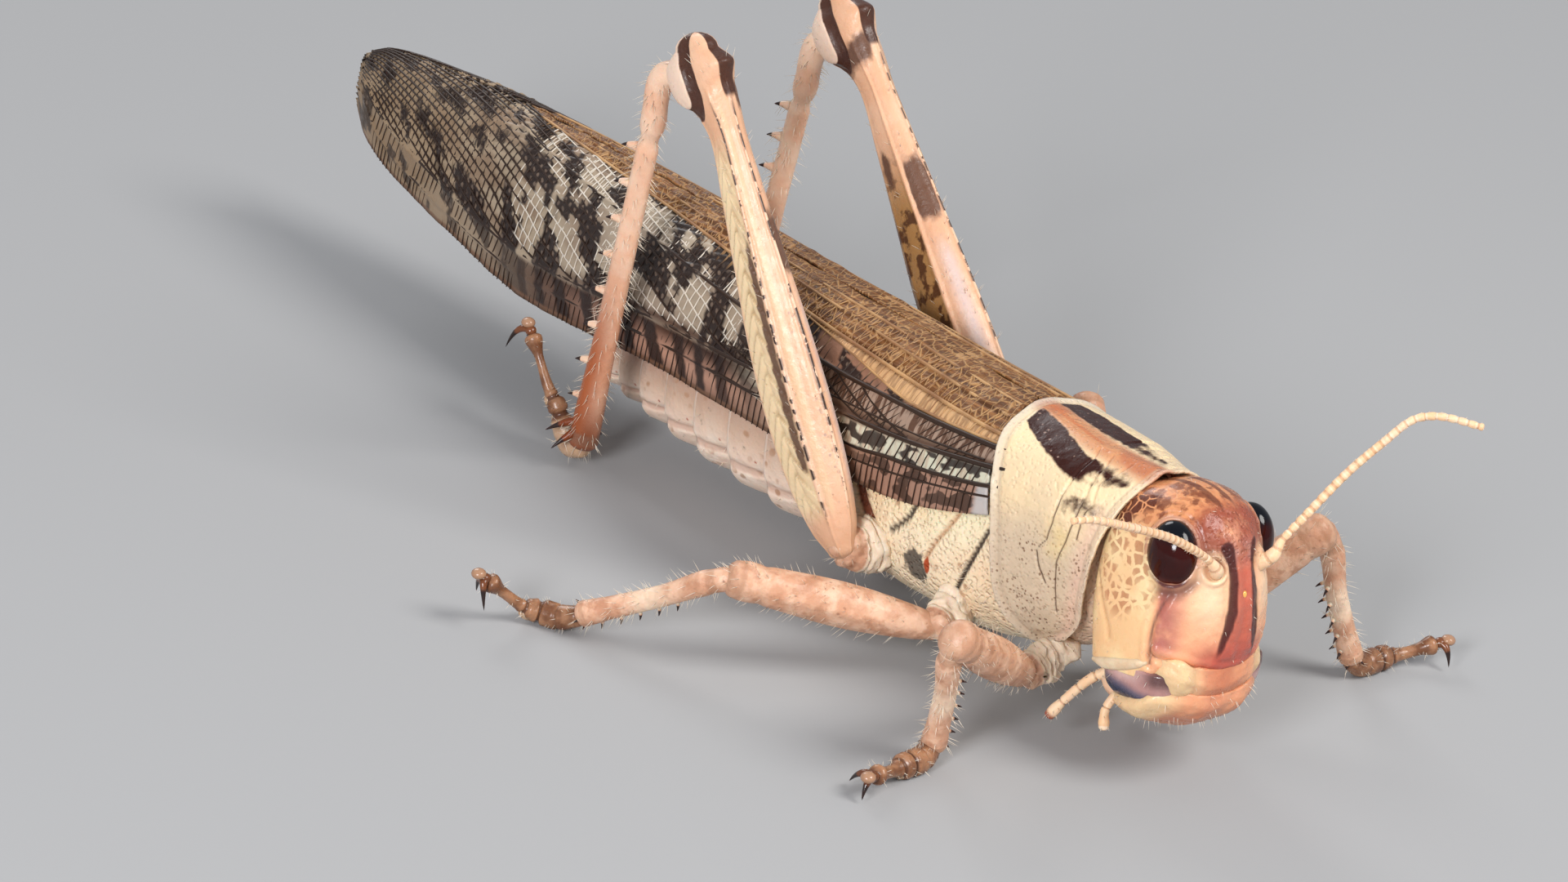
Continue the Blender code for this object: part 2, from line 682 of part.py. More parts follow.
def make_hind_leg(name, leg, ground):
    """A jumping leg: a deep flat femur, and a long spined tibia that ends in spurs."""
    root, hip, knee, ankle = (Vector(leg[key]) for key in ("root", "hip", "knee", "ankle"))
    thigh = (knee - hip).normalized()
    hinge = Vector((1, 0, 0))
    rear = hinge.cross(thigh).normalized()
    if rear.y < 0:
        rear = -rear
    base = [(*root, 1.35), (*root.lerp(hip, 0.6), 1.25), (*root.lerp(hip, 0.85), 0.9)]
    coxa = limb("coxa_" + name, base, "limb", ground, lie=(0, 0, 1), sides=7, stops=3)
    sections = []
    for share, deep, thick, sag in HIND_FEMUR:
        sections.append((*(hip.lerp(knee, share) + rear * sag), deep / 2, thick / 2))
    femur = limb("femur_" + name, sections, "limb", ground, lie=hinge, sides=10, stops=14)
    top = Vector(leg["crook"])
    shin = (ankle - top).normalized()
    back = (Vector((0, 1, 0)) - shin * shin.y).normalized()
    spines = spine_pairs(HIND_SPINES, 0.26, 0.91, back * 1.1, hinge * 0.6)
    shank = [
        (*(knee + rear * 1.4 + thigh * 0.35), 0.55, 0.55),
        (*top, 0.66, 0.58),
        (*top.lerp(ankle, 0.12), 0.60, 0.54),
        (*top.lerp(ankle, 0.5), 0.55, 0.52),
        (*top.lerp(ankle, 0.9), 0.68, 0.62),
        (*ankle, 0.78, 0.74),
    ]
    spines += [(share, Vector(tip)) for share, tip in HIND_SPURS]
    tibia = limb("tibia_" + name, shank, "limb", ground, lie=hinge, sides=6, spines=spines)
    make_room(femur, tibia)
    make_room(coxa, femur)
    make_foot(name, leg, tibia, hinge, ground)
    return coxa, femur


def main():
    for old in list(bpy.data.objects):
        bpy.data.objects.remove(old)
    ground = bpy.data.objects.new("ground_place", None)
    trunk_axis = bpy.data.objects.new("trunk_axis", None)
    head_axis = bpy.data.objects.new("head_axis", None)
    for empty in (ground, trunk_axis, head_axis):
        bpy.context.collection.objects.link(empty)
    ground.location = Vector(NECK_PLACE) * MM
    trunk_axis.parent = ground
    trunk_axis.location = (0, 0, BODY_LIFT * MM)
    trunk_axis.rotation_euler = (math.radians(BODY_PITCH), 0, 0)
    head_axis.parent = trunk_axis
    head_axis.location = Vector(NECK_PIVOT) * MM
    head_axis.rotation_euler = [math.radians(turn) for turn in HEAD_TURN]

    trunk = make_trunk(trunk_axis)
    head = make_head(head_axis, ground)["head"]
    pronotum = make_pronotum(trunk_axis)
    make_room(pronotum, head)
    make_wings(trunk_axis)
    carriers = {"front": "prothorax", "middle": "thorax", "hind": "thorax"}
    for name, leg in LEGS.items():
        pair = name.split("_")[0]
        make = make_hind_leg if pair == "hind" else make_small_leg
        coxa, femur = make(name, leg, ground)
        carrier = trunk[carriers[pair]]
        make_room(carrier, coxa)
        make_room(carrier, femur)
        if pair == "front":
            make_room(pronotum, coxa)


main()
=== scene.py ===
import json
import math

import bpy
import numpy as np
from mathutils import Matrix, Vector, noise

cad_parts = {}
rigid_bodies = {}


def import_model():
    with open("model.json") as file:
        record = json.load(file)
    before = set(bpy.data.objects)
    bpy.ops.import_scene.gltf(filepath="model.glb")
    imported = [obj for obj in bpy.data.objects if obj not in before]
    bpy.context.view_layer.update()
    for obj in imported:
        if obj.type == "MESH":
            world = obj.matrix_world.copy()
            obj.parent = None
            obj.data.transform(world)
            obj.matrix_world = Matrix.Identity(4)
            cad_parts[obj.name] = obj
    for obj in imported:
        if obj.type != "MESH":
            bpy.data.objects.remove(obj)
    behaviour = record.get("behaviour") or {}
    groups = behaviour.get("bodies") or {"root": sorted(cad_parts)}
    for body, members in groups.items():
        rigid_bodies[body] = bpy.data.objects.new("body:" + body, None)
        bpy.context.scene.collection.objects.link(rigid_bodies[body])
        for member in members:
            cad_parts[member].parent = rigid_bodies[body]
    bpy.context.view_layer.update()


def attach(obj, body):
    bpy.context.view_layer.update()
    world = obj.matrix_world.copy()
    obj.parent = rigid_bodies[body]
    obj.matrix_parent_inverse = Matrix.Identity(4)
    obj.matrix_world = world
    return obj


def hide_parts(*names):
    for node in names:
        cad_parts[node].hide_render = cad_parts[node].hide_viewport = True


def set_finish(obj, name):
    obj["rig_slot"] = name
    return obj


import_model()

# A migratory locust at its life size. Lengths are in millimetres until a mesh is made.
MM = 0.001
SIDES = ((-1, "right"), (1, "left"))
FLOOR_CLEARANCE = 0.012
NECK_PLACE = (0.79, -25.978, 0.0)
BODY_LIFT = 9.32
BODY_PITCH = -2.8
NECK_PIVOT = (0.0, 0.5, 0.5)
HEAD_TURN = (-2.8, 3.8, 3.0)
SHELL = 0.5
PRONOTUM_LIFT = 0.22

TRUNK = (
    (1.0, 3.05, 3.5, -4.2, -0.5), (3.0, 3.3, 3.6, -5.6, -0.6), (6.0, 3.62, 3.62, -6.7, -0.9),
    (9.0, 3.9, 3.55, -7.2, -2.6), (13.0, 4.05, 3.45, -7.2, -3.2), (16.5, 3.9, 3.3, -6.95, -3.2),
    (21.0, 3.6, 2.95, -6.85, -3.1), (26.0, 3.35, 2.2, -6.6, -3.0), (31.0, 3.0, 1.1, -6.25, -3.1),
    (35.0, 2.45, -0.5, -5.75, -3.4), (38.0, 1.8, -2.0, -5.35, -3.8),
    (40.0, 1.15, -3.1, -5.05, -4.1),
)
SEGMENT_ENDS = (17.4, 20.6, 23.6, 26.6, 29.4, 32.0, 34.4, 36.5, 38.2, 39.6)
SADDLE = (
    (0, -0.3, 8.35), (30, -0.05, 7.9), (60, 0.35, 7.0), (90, 0.65, 6.25), (112, 1.0, 5.85),
    (126, 1.45, 5.0), (136, 2.5, 3.7),
)
SADDLE_POWER = (2.0, 2.8)
WING = (
    (6.0, 4.3, 4.45, 0.6), (8.5, 4.42, 4.6, -0.2), (13.0, 4.45, 4.85, -1.3),
    (18.0, 4.45, 5.15, -1.6), (25.0, 4.4, 5.45, -1.35), (32.0, 4.2, 5.85, -1.3),
    (39.0, 3.95, 6.15, -1.7), (44.0, 3.65, 6.3, -1.7), (50.0, 3.1, 6.3, -0.75),
    (54.0, 2.55, 6.1, -0.2), (57.5, 1.95, 5.85, 0.35), (60.0, 1.3, 5.45, 1.15),
    (61.4, 0.8, 4.85, 2.15),
)
WING_ROOT = ((0, 8.75), (45, 7.8), (90, 6.9))
WING_TIP_AT = 61.3
HINDWING = (16.0, 58.0)
HINDWING_DEPTH = 0.85
HEAD = (
    (3.47, 1.05, -3.35, -1.1), (3.08, 2.0, -4.2, -0.1), (2.2, 2.8, -4.95, 0.7),
    (1.0, 3.25, -5.35, 1.0), (-0.7, 3.65, -5.82, 1.05), (-2.5, 3.9, -5.85, 0.9),
    (-4.75, 3.9, -5.45, 0.5),
)
HEAD_MIDDLE = -2.2
HEAD_CROWN = 3.63
EYE_PLACE = (2.57, -3.5, 0.98)
EYE_SIZE = (1.0, 1.25, 1.62)
# Feelers and palps as they stand: x, y, z, radius.
FEELERS = {
    "right": (
        (-0.95, -4.25, 10.45, 0.44), (-1.3, -4.85, 11.1, 0.4), (-1.95, -4.8, 11.8, 0.27),
        (-3.4, -5.0, 12.8, 0.28), (-5.3, -5.25, 13.9, 0.28), (-7.8, -5.45, 15.0, 0.27),
        (-10.3, -5.45, 15.95, 0.25), (-11.5, -5.41, 16.15, 0.22),
    ),
    "left": (
        (1.75, -4.4, 10.5, 0.44), (2.15, -4.95, 11.15, 0.4), (2.6, -4.95, 11.8, 0.27),
        (3.54, -5.18, 12.85, 0.28), (5.26, -5.76, 14.95, 0.28), (6.63, -6.4, 16.49, 0.27),
        (7.69, -6.97, 17.61, 0.26), (8.51, -7.79, 17.95, 0.25), (9.65, -9.33, 17.85, 0.22),
    ),
}
PALPS = {
    "maxillary_palp_right": (
        (-2.9, -1.05, 4.7, 0.3), (-3.5, -0.35, 4.05, 0.28), (-4.2, 0.42, 2.75, 0.26),
        (-4.6, 0.84, 1.87, 0.3),
    ),
    "labial_palp_right": (
        (-2.55, -1.9, 4.2, 0.28), (-3.3, -1.75, 3.7, 0.26), (-3.75, -1.75, 3.1, 0.25),
        (-3.9, -1.98, 2.4, 0.28),
    ),
    "maxillary_palp_left": (
        (2.75, -1.0, 4.6, 0.3), (3.35, -0.45, 3.9, 0.28), (3.75, 0.15, 2.7, 0.26),
        (3.85, 0.4, 1.8, 0.3),
    ),
    "labial_palp_left": (
        (2.2, -1.9, 4.1, 0.28), (2.9, -1.75, 3.6, 0.26), (3.2, -1.85, 2.95, 0.25),
        (3.2, -2.1, 2.25, 0.28),
    ),
}

# Legs as they stand. A foot runs from the ankle to the toe, with a radius at each point.
LEGS = {
    "front_right": {
        "root": (-2.0, 3.3, 3.6),
        "hip": (-4.4, 2.9, 2.95),
        "knee": (-11.75, 0.27, 7.74),
        "ankle": (-10.2, 2.36, 1.15),
        "foot": (
            (-10.3, 2.4, 0.95, 0.5), (-11.0, 2.2, 0.58, 0.62), (-12.2, 2.05, 0.58, 0.62),
            (-13.2, 1.85, 0.66, 0.44), (-14.3, 1.5, 0.95, 0.48),
        ),
        "claws": ((-14.9, 2.65, 0.22), (-15.55, 1.0, 0.22)),
    },
    "front_left": {
        "root": (2.0, 3.2, 3.7),
        "hip": (4.3, 2.6, 3.05),
        "knee": (10.78, -0.09, 8.21),
        "ankle": (13.6, -0.75, 1.2),
        "foot": (
            (13.7, -0.8, 0.95, 0.5), (14.4, -0.8, 0.58, 0.62), (15.8, -0.8, 0.58, 0.62),
            (17.0, -1.15, 0.7, 0.44), (18.2, -1.7, 1.1, 0.48),
        ),
        "claws": ((18.5, -2.75, 0.3), (19.45, -1.55, 0.6)),
    },
    "middle_right": {
        "root": (-2.3, 9.6, 3.6),
        "hip": (-4.9, 8.7, 2.75),
        "knee": (-13.05, 13.75, 4.87),
        "ankle": (-16.89, 19.73, 1.2),
        "foot": (
            (-17.0, 20.0, 0.95, 0.5), (-17.35, 20.9, 0.58, 0.62), (-17.8, 21.75, 0.58, 0.62),
            (-18.5, 22.15, 0.8, 0.46), (-19.5, 22.45, 1.6, 0.4), (-20.25, 22.65, 2.25, 0.48),
        ),
        "claws": ((-20.95, 22.1, 1.2), (-20.3, 23.6, 1.4)),
    },
    "middle_left": {
        "root": (2.3, 9.5, 3.7),
        "hip": (4.7, 8.9, 3.1),
        "knee": (8.9, 14.4, 8.9),
        "ankle": (12.0, 17.2, 1.2),
        "foot": (
            (12.2, 17.4, 0.95, 0.5), (12.9, 18.0, 0.58, 0.62), (14.0, 18.9, 0.58, 0.62),
            (14.9, 19.6, 0.7, 0.44), (16.1, 20.5, 1.05, 0.48),
        ),
        "claws": ((17.3, 20.6, 0.25), (16.6, 21.7, 0.25)),
    },
    "hind_right": {
        "root": (-2.9, 14.6, 4.1),
        "hip": (-5.75, 14.7, 4.35),
        "knee": (-6.37, 27.2, 23.8),
        "crook": (-6.75, 30.1, 22.6),
        "ankle": (-5.9, 34.0, 1.7),
        "foot": (
            (-5.8, 34.15, 1.15, 0.55), (-5.9, 35.0, 1.0, 0.62), (-6.05, 36.0, 2.5, 0.52),
            (-6.2, 36.86, 3.5, 0.42), (-6.2, 37.6, 4.5, 0.36), (-6.2, 38.3, 5.4, 0.46),
        ),
        "claws": ((-6.75, 39.75, 4.45), (-5.45, 39.6, 4.35)),
    },
    "hind_left": {
        "root": (2.9, 14.5, 4.2),
        "hip": (5.75, 14.7, 4.75),
        "knee": (7.15, 32.35, 22.15),
        "crook": (6.8, 34.5, 20.4),
        "ankle": (7.9, 38.9, 1.5),
        "foot": (
            (8.0, 39.2, 0.95, 0.55), (8.35, 40.3, 0.6, 0.66), (8.8, 41.7, 0.6, 0.66),
            (9.2, 43.0, 0.75, 0.46), (9.75, 44.7, 1.25, 0.5),
        ),
        "claws": ((9.6, 46.1, 0.35), (11.0, 45.7, 0.35)),
    },
}
# Spurs round the end of a hind tibia: share of its length, offset of the tip from the middle.
HIND_SPURS = (
    (0.945, (-1.5, 1.42, -0.95)), (0.945, (1.3, 1.35, -0.9)), (0.965, (-1.68, 0.55, -1.15)),
    (0.965, (1.35, 0.35, -0.95)),
)
# Hind femur: share of its length, depth, thickness, sag towards its lower edge.
HIND_FEMUR = (
    (0.0, 1.6, 1.2, 0.0), (0.05, 2.8, 1.8, 0.1), (0.15, 3.85, 2.25, 0.25), (0.3, 4.25, 2.4, 0.35),
    (0.45, 3.95, 2.25, 0.3), (0.6, 3.2, 1.95, 0.15), (0.75, 2.45, 1.65, 0.0),
    (0.86, 1.95, 1.45, -0.1), (0.91, 2.3, 1.8, 0.05), (0.96, 3.3, 2.25, 0.45), (1.0, 3.3, 2.2, 0.5),
    (1.03, 2.2, 1.5, 0.4),
)
HIND_SPINES = 8
SMALL_SPINES = 5


def along(rows, at):
    """The rows' values at one key or many, on a smooth curve through the rows."""
    table = np.array(rows, float)
    keys, values = table[:, 0], table[:, 1:]
    at = np.clip(np.asarray(at, float), keys[0], keys[-1])
    k = np.clip(np.searchsorted(keys, at, side="right") - 1, 0, len(keys) - 2)
    span = (keys[k + 1] - keys[k])[..., None]
    u = (at - keys[k])[..., None] / span
    low = np.maximum(np.arange(len(keys)) - 1, 0)
    high = np.minimum(np.arange(len(keys)) + 1, len(keys) - 1)
    slopes = (values[high] - values[low]) / (keys[high] - keys[low])[:, None]
    share = u * u * (3 - 2 * u)
    swing = slopes[k] * span * u * (1 - u) ** 2 - slopes[k + 1] * span * u * u * (1 - u)
    return values[k] * (1 - share) + values[k + 1] * share + swing


def course(line, at):
    """The one value of a line of pairs, at its keys."""
    return along(line, at)[..., 0]


def by_length(points):
    """Rows keyed by the share of the length run at each point."""
    points = np.array([p if len(p) == 5 else (*p, p[3]) for p in points], float)
    runs = np.concatenate([[0], np.cumsum(np.linalg.norm(np.diff(points[:, :3], axis=0), axis=1))])
    return np.column_stack([runs / runs[-1], points])


def bulge(angle, power):
    """Across and up on a unit superellipse."""
    across, up = np.sin(angle), np.cos(angle)
    flat = 2.0 / power
    return np.sign(across) * np.abs(across) ** flat, np.sign(up) * np.abs(up) ** flat


def step(value, start, end):
    """A smooth rise from 0 at start to 1 at end."""
    t = np.clip((np.asarray(value, float) - start) / (end - start), 0, 1)
    return t * t * (3 - 2 * t)


def fall(value, start, end):
    """A smooth drop from 1 at start to 0 at end."""
    return 1 - step(value, start, end)


def hump(value, middle, half):
    """A smooth bump, 1 at its middle and 0 beyond its half width."""
    t = np.clip(1 - np.abs(np.asarray(value, float) - middle) / half, 0, 1)
    return t * t * (3 - 2 * t)


def circle(count):
    """Angles spread evenly round a full turn."""
    return 2 * np.pi * np.arange(count) / count


def span(points, place):
    """Distance of each point from a place."""
    return np.linalg.norm(points - np.array(place), axis=-1)


def mirrored(points):
    """Points with the right side's taken over to the left."""
    return np.stack([np.abs(points[..., 0]), points[..., 1], points[..., 2]], -1)


def line_gap(points, line, aside=False):
    """Distance of each point from a line given for one side; aside leaves out the width."""
    p = np.array(points, float) * (0 if aside else 1, 1, 1)
    line = np.array(line, float) * (0 if aside else 1, 1, 1)
    p[..., 0] = np.abs(p[..., 0])
    gap = np.full(p.shape[:-1], 1e9)
    for one, two in zip(line, line[1:]):
        a, b = np.array(one, float), np.array(two, float)
        t = np.clip(((p - a) @ (b - a)) / ((b - a) @ (b - a)), 0, 1)
        gap = np.minimum(gap, np.linalg.norm(p - (a + t[..., None] * (b - a)), axis=-1))
    return gap


def rough_field(points, scale, seed=0.0, octaves=3):
    """A soft random field of about 0 to 1 over the points."""
    flat = np.asarray(points, float).reshape(-1, 3)
    shift = Vector((seed * 7.3, seed * 3.1, seed * 11.7))
    made = [noise.fractal(Vector(p) * scale + shift, 0.6, 2.1, octaves) for p in flat]
    return np.clip(np.array(made).reshape(np.shape(points)[:-1]) * 0.6 + 0.5, 0, 1)


def turned(degrees, axis):
    """A turn about X, Y or Z, as a 3 by 3 matrix."""
    c, s = math.cos(math.radians(degrees)), math.sin(math.radians(degrees))
    i, j = ((1, 2), (2, 0), (0, 1))[axis]
    matrix = np.eye(3)
    matrix[i, i] = matrix[j, j] = c
    matrix[i, j], matrix[j, i] = -s, s
    return matrix


HEAD_SPIN = turned(HEAD_TURN[2], 2) @ turned(HEAD_TURN[1], 1) @ turned(HEAD_TURN[0], 0)
BODY_SPIN = turned(BODY_PITCH, 0)


def set_down(points, where):
    """Points shaped along the head's or the trunk's own axis, taken to where they stand."""
    p = np.asarray(points, float)
    if where == "head":
        p = p @ HEAD_SPIN.T + np.array(NECK_PIVOT)
    if where in ("head", "trunk"):
        p = p @ BODY_SPIN.T + np.array((0, 0, BODY_LIFT))
    return p + np.array(NECK_PLACE)


def head_place(point):
    """A standing point in the head's own axis."""
    p = (np.array(point[:3], float) - np.array((0, 0, BODY_LIFT))) @ BODY_SPIN
    return (p - np.array(NECK_PIVOT)) @ HEAD_SPIN


class Shape:
    """Corners, faces, lay coordinates and masks of one piece, gathered before its mesh is made."""

    def __init__(self):
        self.points, self.faces, self.lay, self.masks, self.count = [], [], [], {}, 0

    def add(self, points, faces, lay, masks=None):
        """Adds faces of equal corner count, with a lay coordinate for each face corner."""
        points = np.asarray(points, float)
        self.points.append(points)
        self.faces.append(np.asarray(faces) + self.count)
        self.lay.append(np.asarray(lay, float))
        for name, values in (masks or {}).items():
            self.masks.setdefault(name, []).append((self.count, np.asarray(values, float)))
        self.count += len(points)

    def grid(self, grid, closed=True, poles=(None, None), masks=None):
        """Adds a grid of rows along and columns around, with its ends drawn in to poles."""
        rows, columns = grid.shape[:2]
        wrap = columns if closed else columns - 1
        k, j = np.meshgrid(np.arange(rows - 1), np.arange(wrap), indexing="ij")
        k, j = k.ravel(), j.ravel()
        after = (j + 1) % columns
        a, b = k * columns + j, k * columns + after
        faces = np.stack([a, b, b + columns, a + columns], 1)
        around, back = 1.0 / wrap, 1.0 / (rows - 1)
        lay = np.stack([np.stack([(j + dj) * around, (k + dk) * back], 1)
                        for dk, dj in ((0, 0), (0, 1), (1, 1), (1, 0))], 1)
        points = grid.reshape(-1, 3)
        masks = masks or {}
        flat_masks = {n: np.broadcast_to(v, (rows, columns)).ravel() for n, v in masks.items()}
        ends = []
        for place, start, up in ((poles[0], 0, 0.0), (poles[1], (rows - 1) * columns, 1.0)):
            if place is None:
                continue
            ring = np.arange(columns) + start
            tip = len(points)
            points = np.vstack([points, np.asarray(place, float)[None]])
            for n, v in flat_masks.items():
                flat_masks[n] = np.append(v, v[ring].mean())
            order = (ring, np.roll(ring, -1)) if up else (np.roll(ring, -1), ring)
            u = np.arange(columns) * around
            corners = np.stack([u, u + around, u + around / 2], 1)
            ends.append((np.stack([*order, np.full(columns, tip)], 1),
                         np.stack([corners, np.full_like(corners, up)], 2)))
        self.add(points, faces, lay, flat_masks)
        for f, l in ends:
            self.faces.append(f + self.count - len(points))
            self.lay.append(l)
        return self

    def slab(self, outer, inner, masks=None):
        """Adds a thin closed plate between two open grids of the same size."""
        rows, columns = outer.shape[:2]
        start = self.count
        folded = {n: np.broadcast_to(v, (rows, columns)) for n, v in (masks or {}).items()}
        folded = {n: np.concatenate([v, v[:, ::-1]], 1) for n, v in folded.items()}
        self.grid(np.concatenate([outer, inner[:, ::-1]], 1), masks=folded)
        j = np.arange(columns - 1)
        partner = 2 * columns - 1 - j
        for shift, way in ((0, 1), ((rows - 1) * 2 * columns, -1)):
            face = np.stack([j + 1, j, partner, partner - 1], 1)[:, ::way] + start + shift
            self.faces.append(face)
            share = np.stack([j, j], 1) / (2.0 * columns)
            self.lay.append(np.repeat(share[:, None], 4, axis=1))
        return self

    def ball(self, centre, size, spin=None, masks=None, sides=20, rings=12):
        """Adds an ellipsoid, its longest run of rings along its own Z."""
        lean = np.linspace(0.12, np.pi - 0.12, rings)[:, None]
        turn = circle(sides)[None]
        across = np.sin(lean)
        grid = np.stack([across * np.cos(turn), across * np.sin(turn), np.cos(lean) + 0 * turn], -1)
        spin = np.eye(3) if spin is None else np.asarray(spin)
        centre = np.asarray(centre, float)
        grid = (grid * size) @ spin.T + centre
        poles = [centre + spin @ (np.array((0, 0, way)) * size) for way in (1, -1)]
        self.grid(grid, poles=poles, masks=masks)

    def finish(self, name, finish, nodes=(), where="ground", slot=None):
        """Makes the piece, sets it down where it stands and hides the solids it stands for."""
        points = set_down(np.vstack(self.points), where) * MM
        points[:, 2] = np.maximum(points[:, 2], 0.0)
        volume = 0.0
        for f in self.faces:
            p = points[f]
            for i in range(1, f.shape[1] - 1):
                volume += np.einsum("ij,ij->", p[:, 0], np.cross(p[:, i], p[:, i + 1]))
        if volume < 0:
            self.faces = [f[:, ::-1] for f in self.faces]
            self.lay = [l[:, ::-1] for l in self.lay]
        mesh = bpy.data.meshes.new(name)
        mesh.from_pydata(points.tolist(), [], [row for f in self.faces for row in f.tolist()])
        lay = np.concatenate([l.ravel() for l in self.lay]).astype(np.float32)
        mesh.uv_layers.new(name="lay").data.foreach_set("uv", lay)
        for mask, parts in self.masks.items():
            values = np.zeros(len(points))
            for start, part in parts:
                values[start:start + len(part)] = part
            mark(mesh, mask, values)
        mesh.shade_smooth()
        return show(name, mesh, finish, nodes, slot)


def mark(mesh, name, values):
    """Stores one value for each corner of a mesh."""
    spots = mesh.attributes.new(name, "FLOAT", "POINT")
    spots.data.foreach_set("value", np.asarray(values, np.float32))


def show(name, mesh, finish, nodes=(), slot=None):
    """Puts a mesh in the scene as a piece of the animal."""
    piece = bpy.data.objects.new(name, mesh)
    bpy.context.scene.collection.objects.link(piece)
    mesh.materials.clear()
    mesh.materials.append(finish)
    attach(piece, "root")
    if nodes:
        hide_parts(*nodes)
    if slot:
        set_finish(piece, slot)
    return piece


def tube(points, sides=24, stops=60, lie=(1, 0, 0), shape=None, rounds=5):
    """A round-ended limb: its grid of points, its poles, and each ring's share and angle.

    shape(share, angle) gives an offset outwards.
    """
    rows = by_length(points)
    shares = np.linspace(0, 1, stops) if np.isscalar(stops) else np.asarray(stops, float)
    values = along(rows, shares)
    ahead = along(rows, np.minimum(shares + 0.02, 1)) - along(rows, np.maximum(shares - 0.02, 0))
    ahead = ahead[:, :3] / np.linalg.norm(ahead[:, :3], axis=1)[:, None]
    side = np.array(lie, float)[None] - ahead * (ahead @ np.array(lie, float))[:, None]
    side /= np.linalg.norm(side, axis=1)[:, None]
    up = np.cross(ahead, side)
    angle = circle(sides)
    centre, deep, wide = values[:, None, :3], values[:, 3][:, None], values[:, 4][:, None]
    extra = 0.0 if shape is None else shape(shares[:, None], angle[None])
    across, high = (wide + extra) * np.cos(angle), (deep + extra) * np.sin(angle)
    grid = centre + side[:, None] * across[..., None] + up[:, None] * high[..., None]
    caps, ring_shares = [], [shares]
    for k, way in ((0, -1), (-1, 1)):
        reach = values[k, 3] * 0.62
        bends = np.linspace(0, np.pi / 2, rounds + 1)[1:-1]
        rings = [centre[k] + (grid[k] - centre[k]) * math.cos(t)
                 + ahead[k] * way * reach * math.sin(t)
                 for t in bends]
        caps.append((rings[::way] if way < 0 else rings, values[k, :3] + ahead[k] * way * reach))
        ring_shares.append(np.full(len(bends), shares[k]))
    grid = np.concatenate([np.array(caps[0][0]), grid, np.array(caps[1][0])])
    ring_shares = np.concatenate([ring_shares[1], shares, ring_shares[2]])
    return (grid, (caps[0][1], caps[1][1]), ring_shares[:, None] + 0 * angle,
            angle + 0 * ring_shares[:, None])


def thorn(shape, root, tip, radius, bend=(0, 0, 0), sides=8, rings=5, masks=None):
    """Adds a curved spine from its root to its tip."""
    root, tip, bend = (np.array(p, float) for p in (root, tip, bend))
    ahead = (tip - root) / np.linalg.norm(tip - root)
    side = np.cross(ahead, (0.31, 0.52, 0.79))
    side /= np.linalg.norm(side)
    up = np.cross(ahead, side)
    shares = np.linspace(0, 0.94, rings)
    angle = circle(sides)
    ring = side * np.cos(angle)[:, None] + up * np.sin(angle)[:, None]
    middles = root + (tip - root) * shares[:, None] + bend * (4 * shares * (1 - shares))[:, None]
    sizes = radius * (1 - shares) ** 0.8 + 0.01
    grid = middles[:, None] + ring[None] * sizes[:, None, None]
    values = {n: v(shares)[:, None] + 0 * angle for n, v in (masks or {}).items()}
    shape.grid(grid, poles=(root - ahead * 0.02, tip), masks=values)


def unit(vector):
    """The vector at a length of 1."""
    vector = np.asarray(vector, float)
    return vector / np.linalg.norm(vector)


class Tree:
    """A node tree whose nodes are made in one call, with their inputs set or linked."""

    prefix = ""

    def node(self, kind, inputs=(), **settings):
        """A node; an input takes a value, a socket, or another node's first output."""
        made = self.tree.nodes.new(self.prefix + kind)
        for key, value in settings.items():
            setattr(made, key, value)
        for key, value in dict(inputs).items():
            if isinstance(value, bpy.types.Node):
                value = value.outputs[0]
            if isinstance(value, bpy.types.NodeSocket):
                self.tree.links.new(value, made.inputs[key])
            else:
                made.inputs[key].default_value = value
        return made


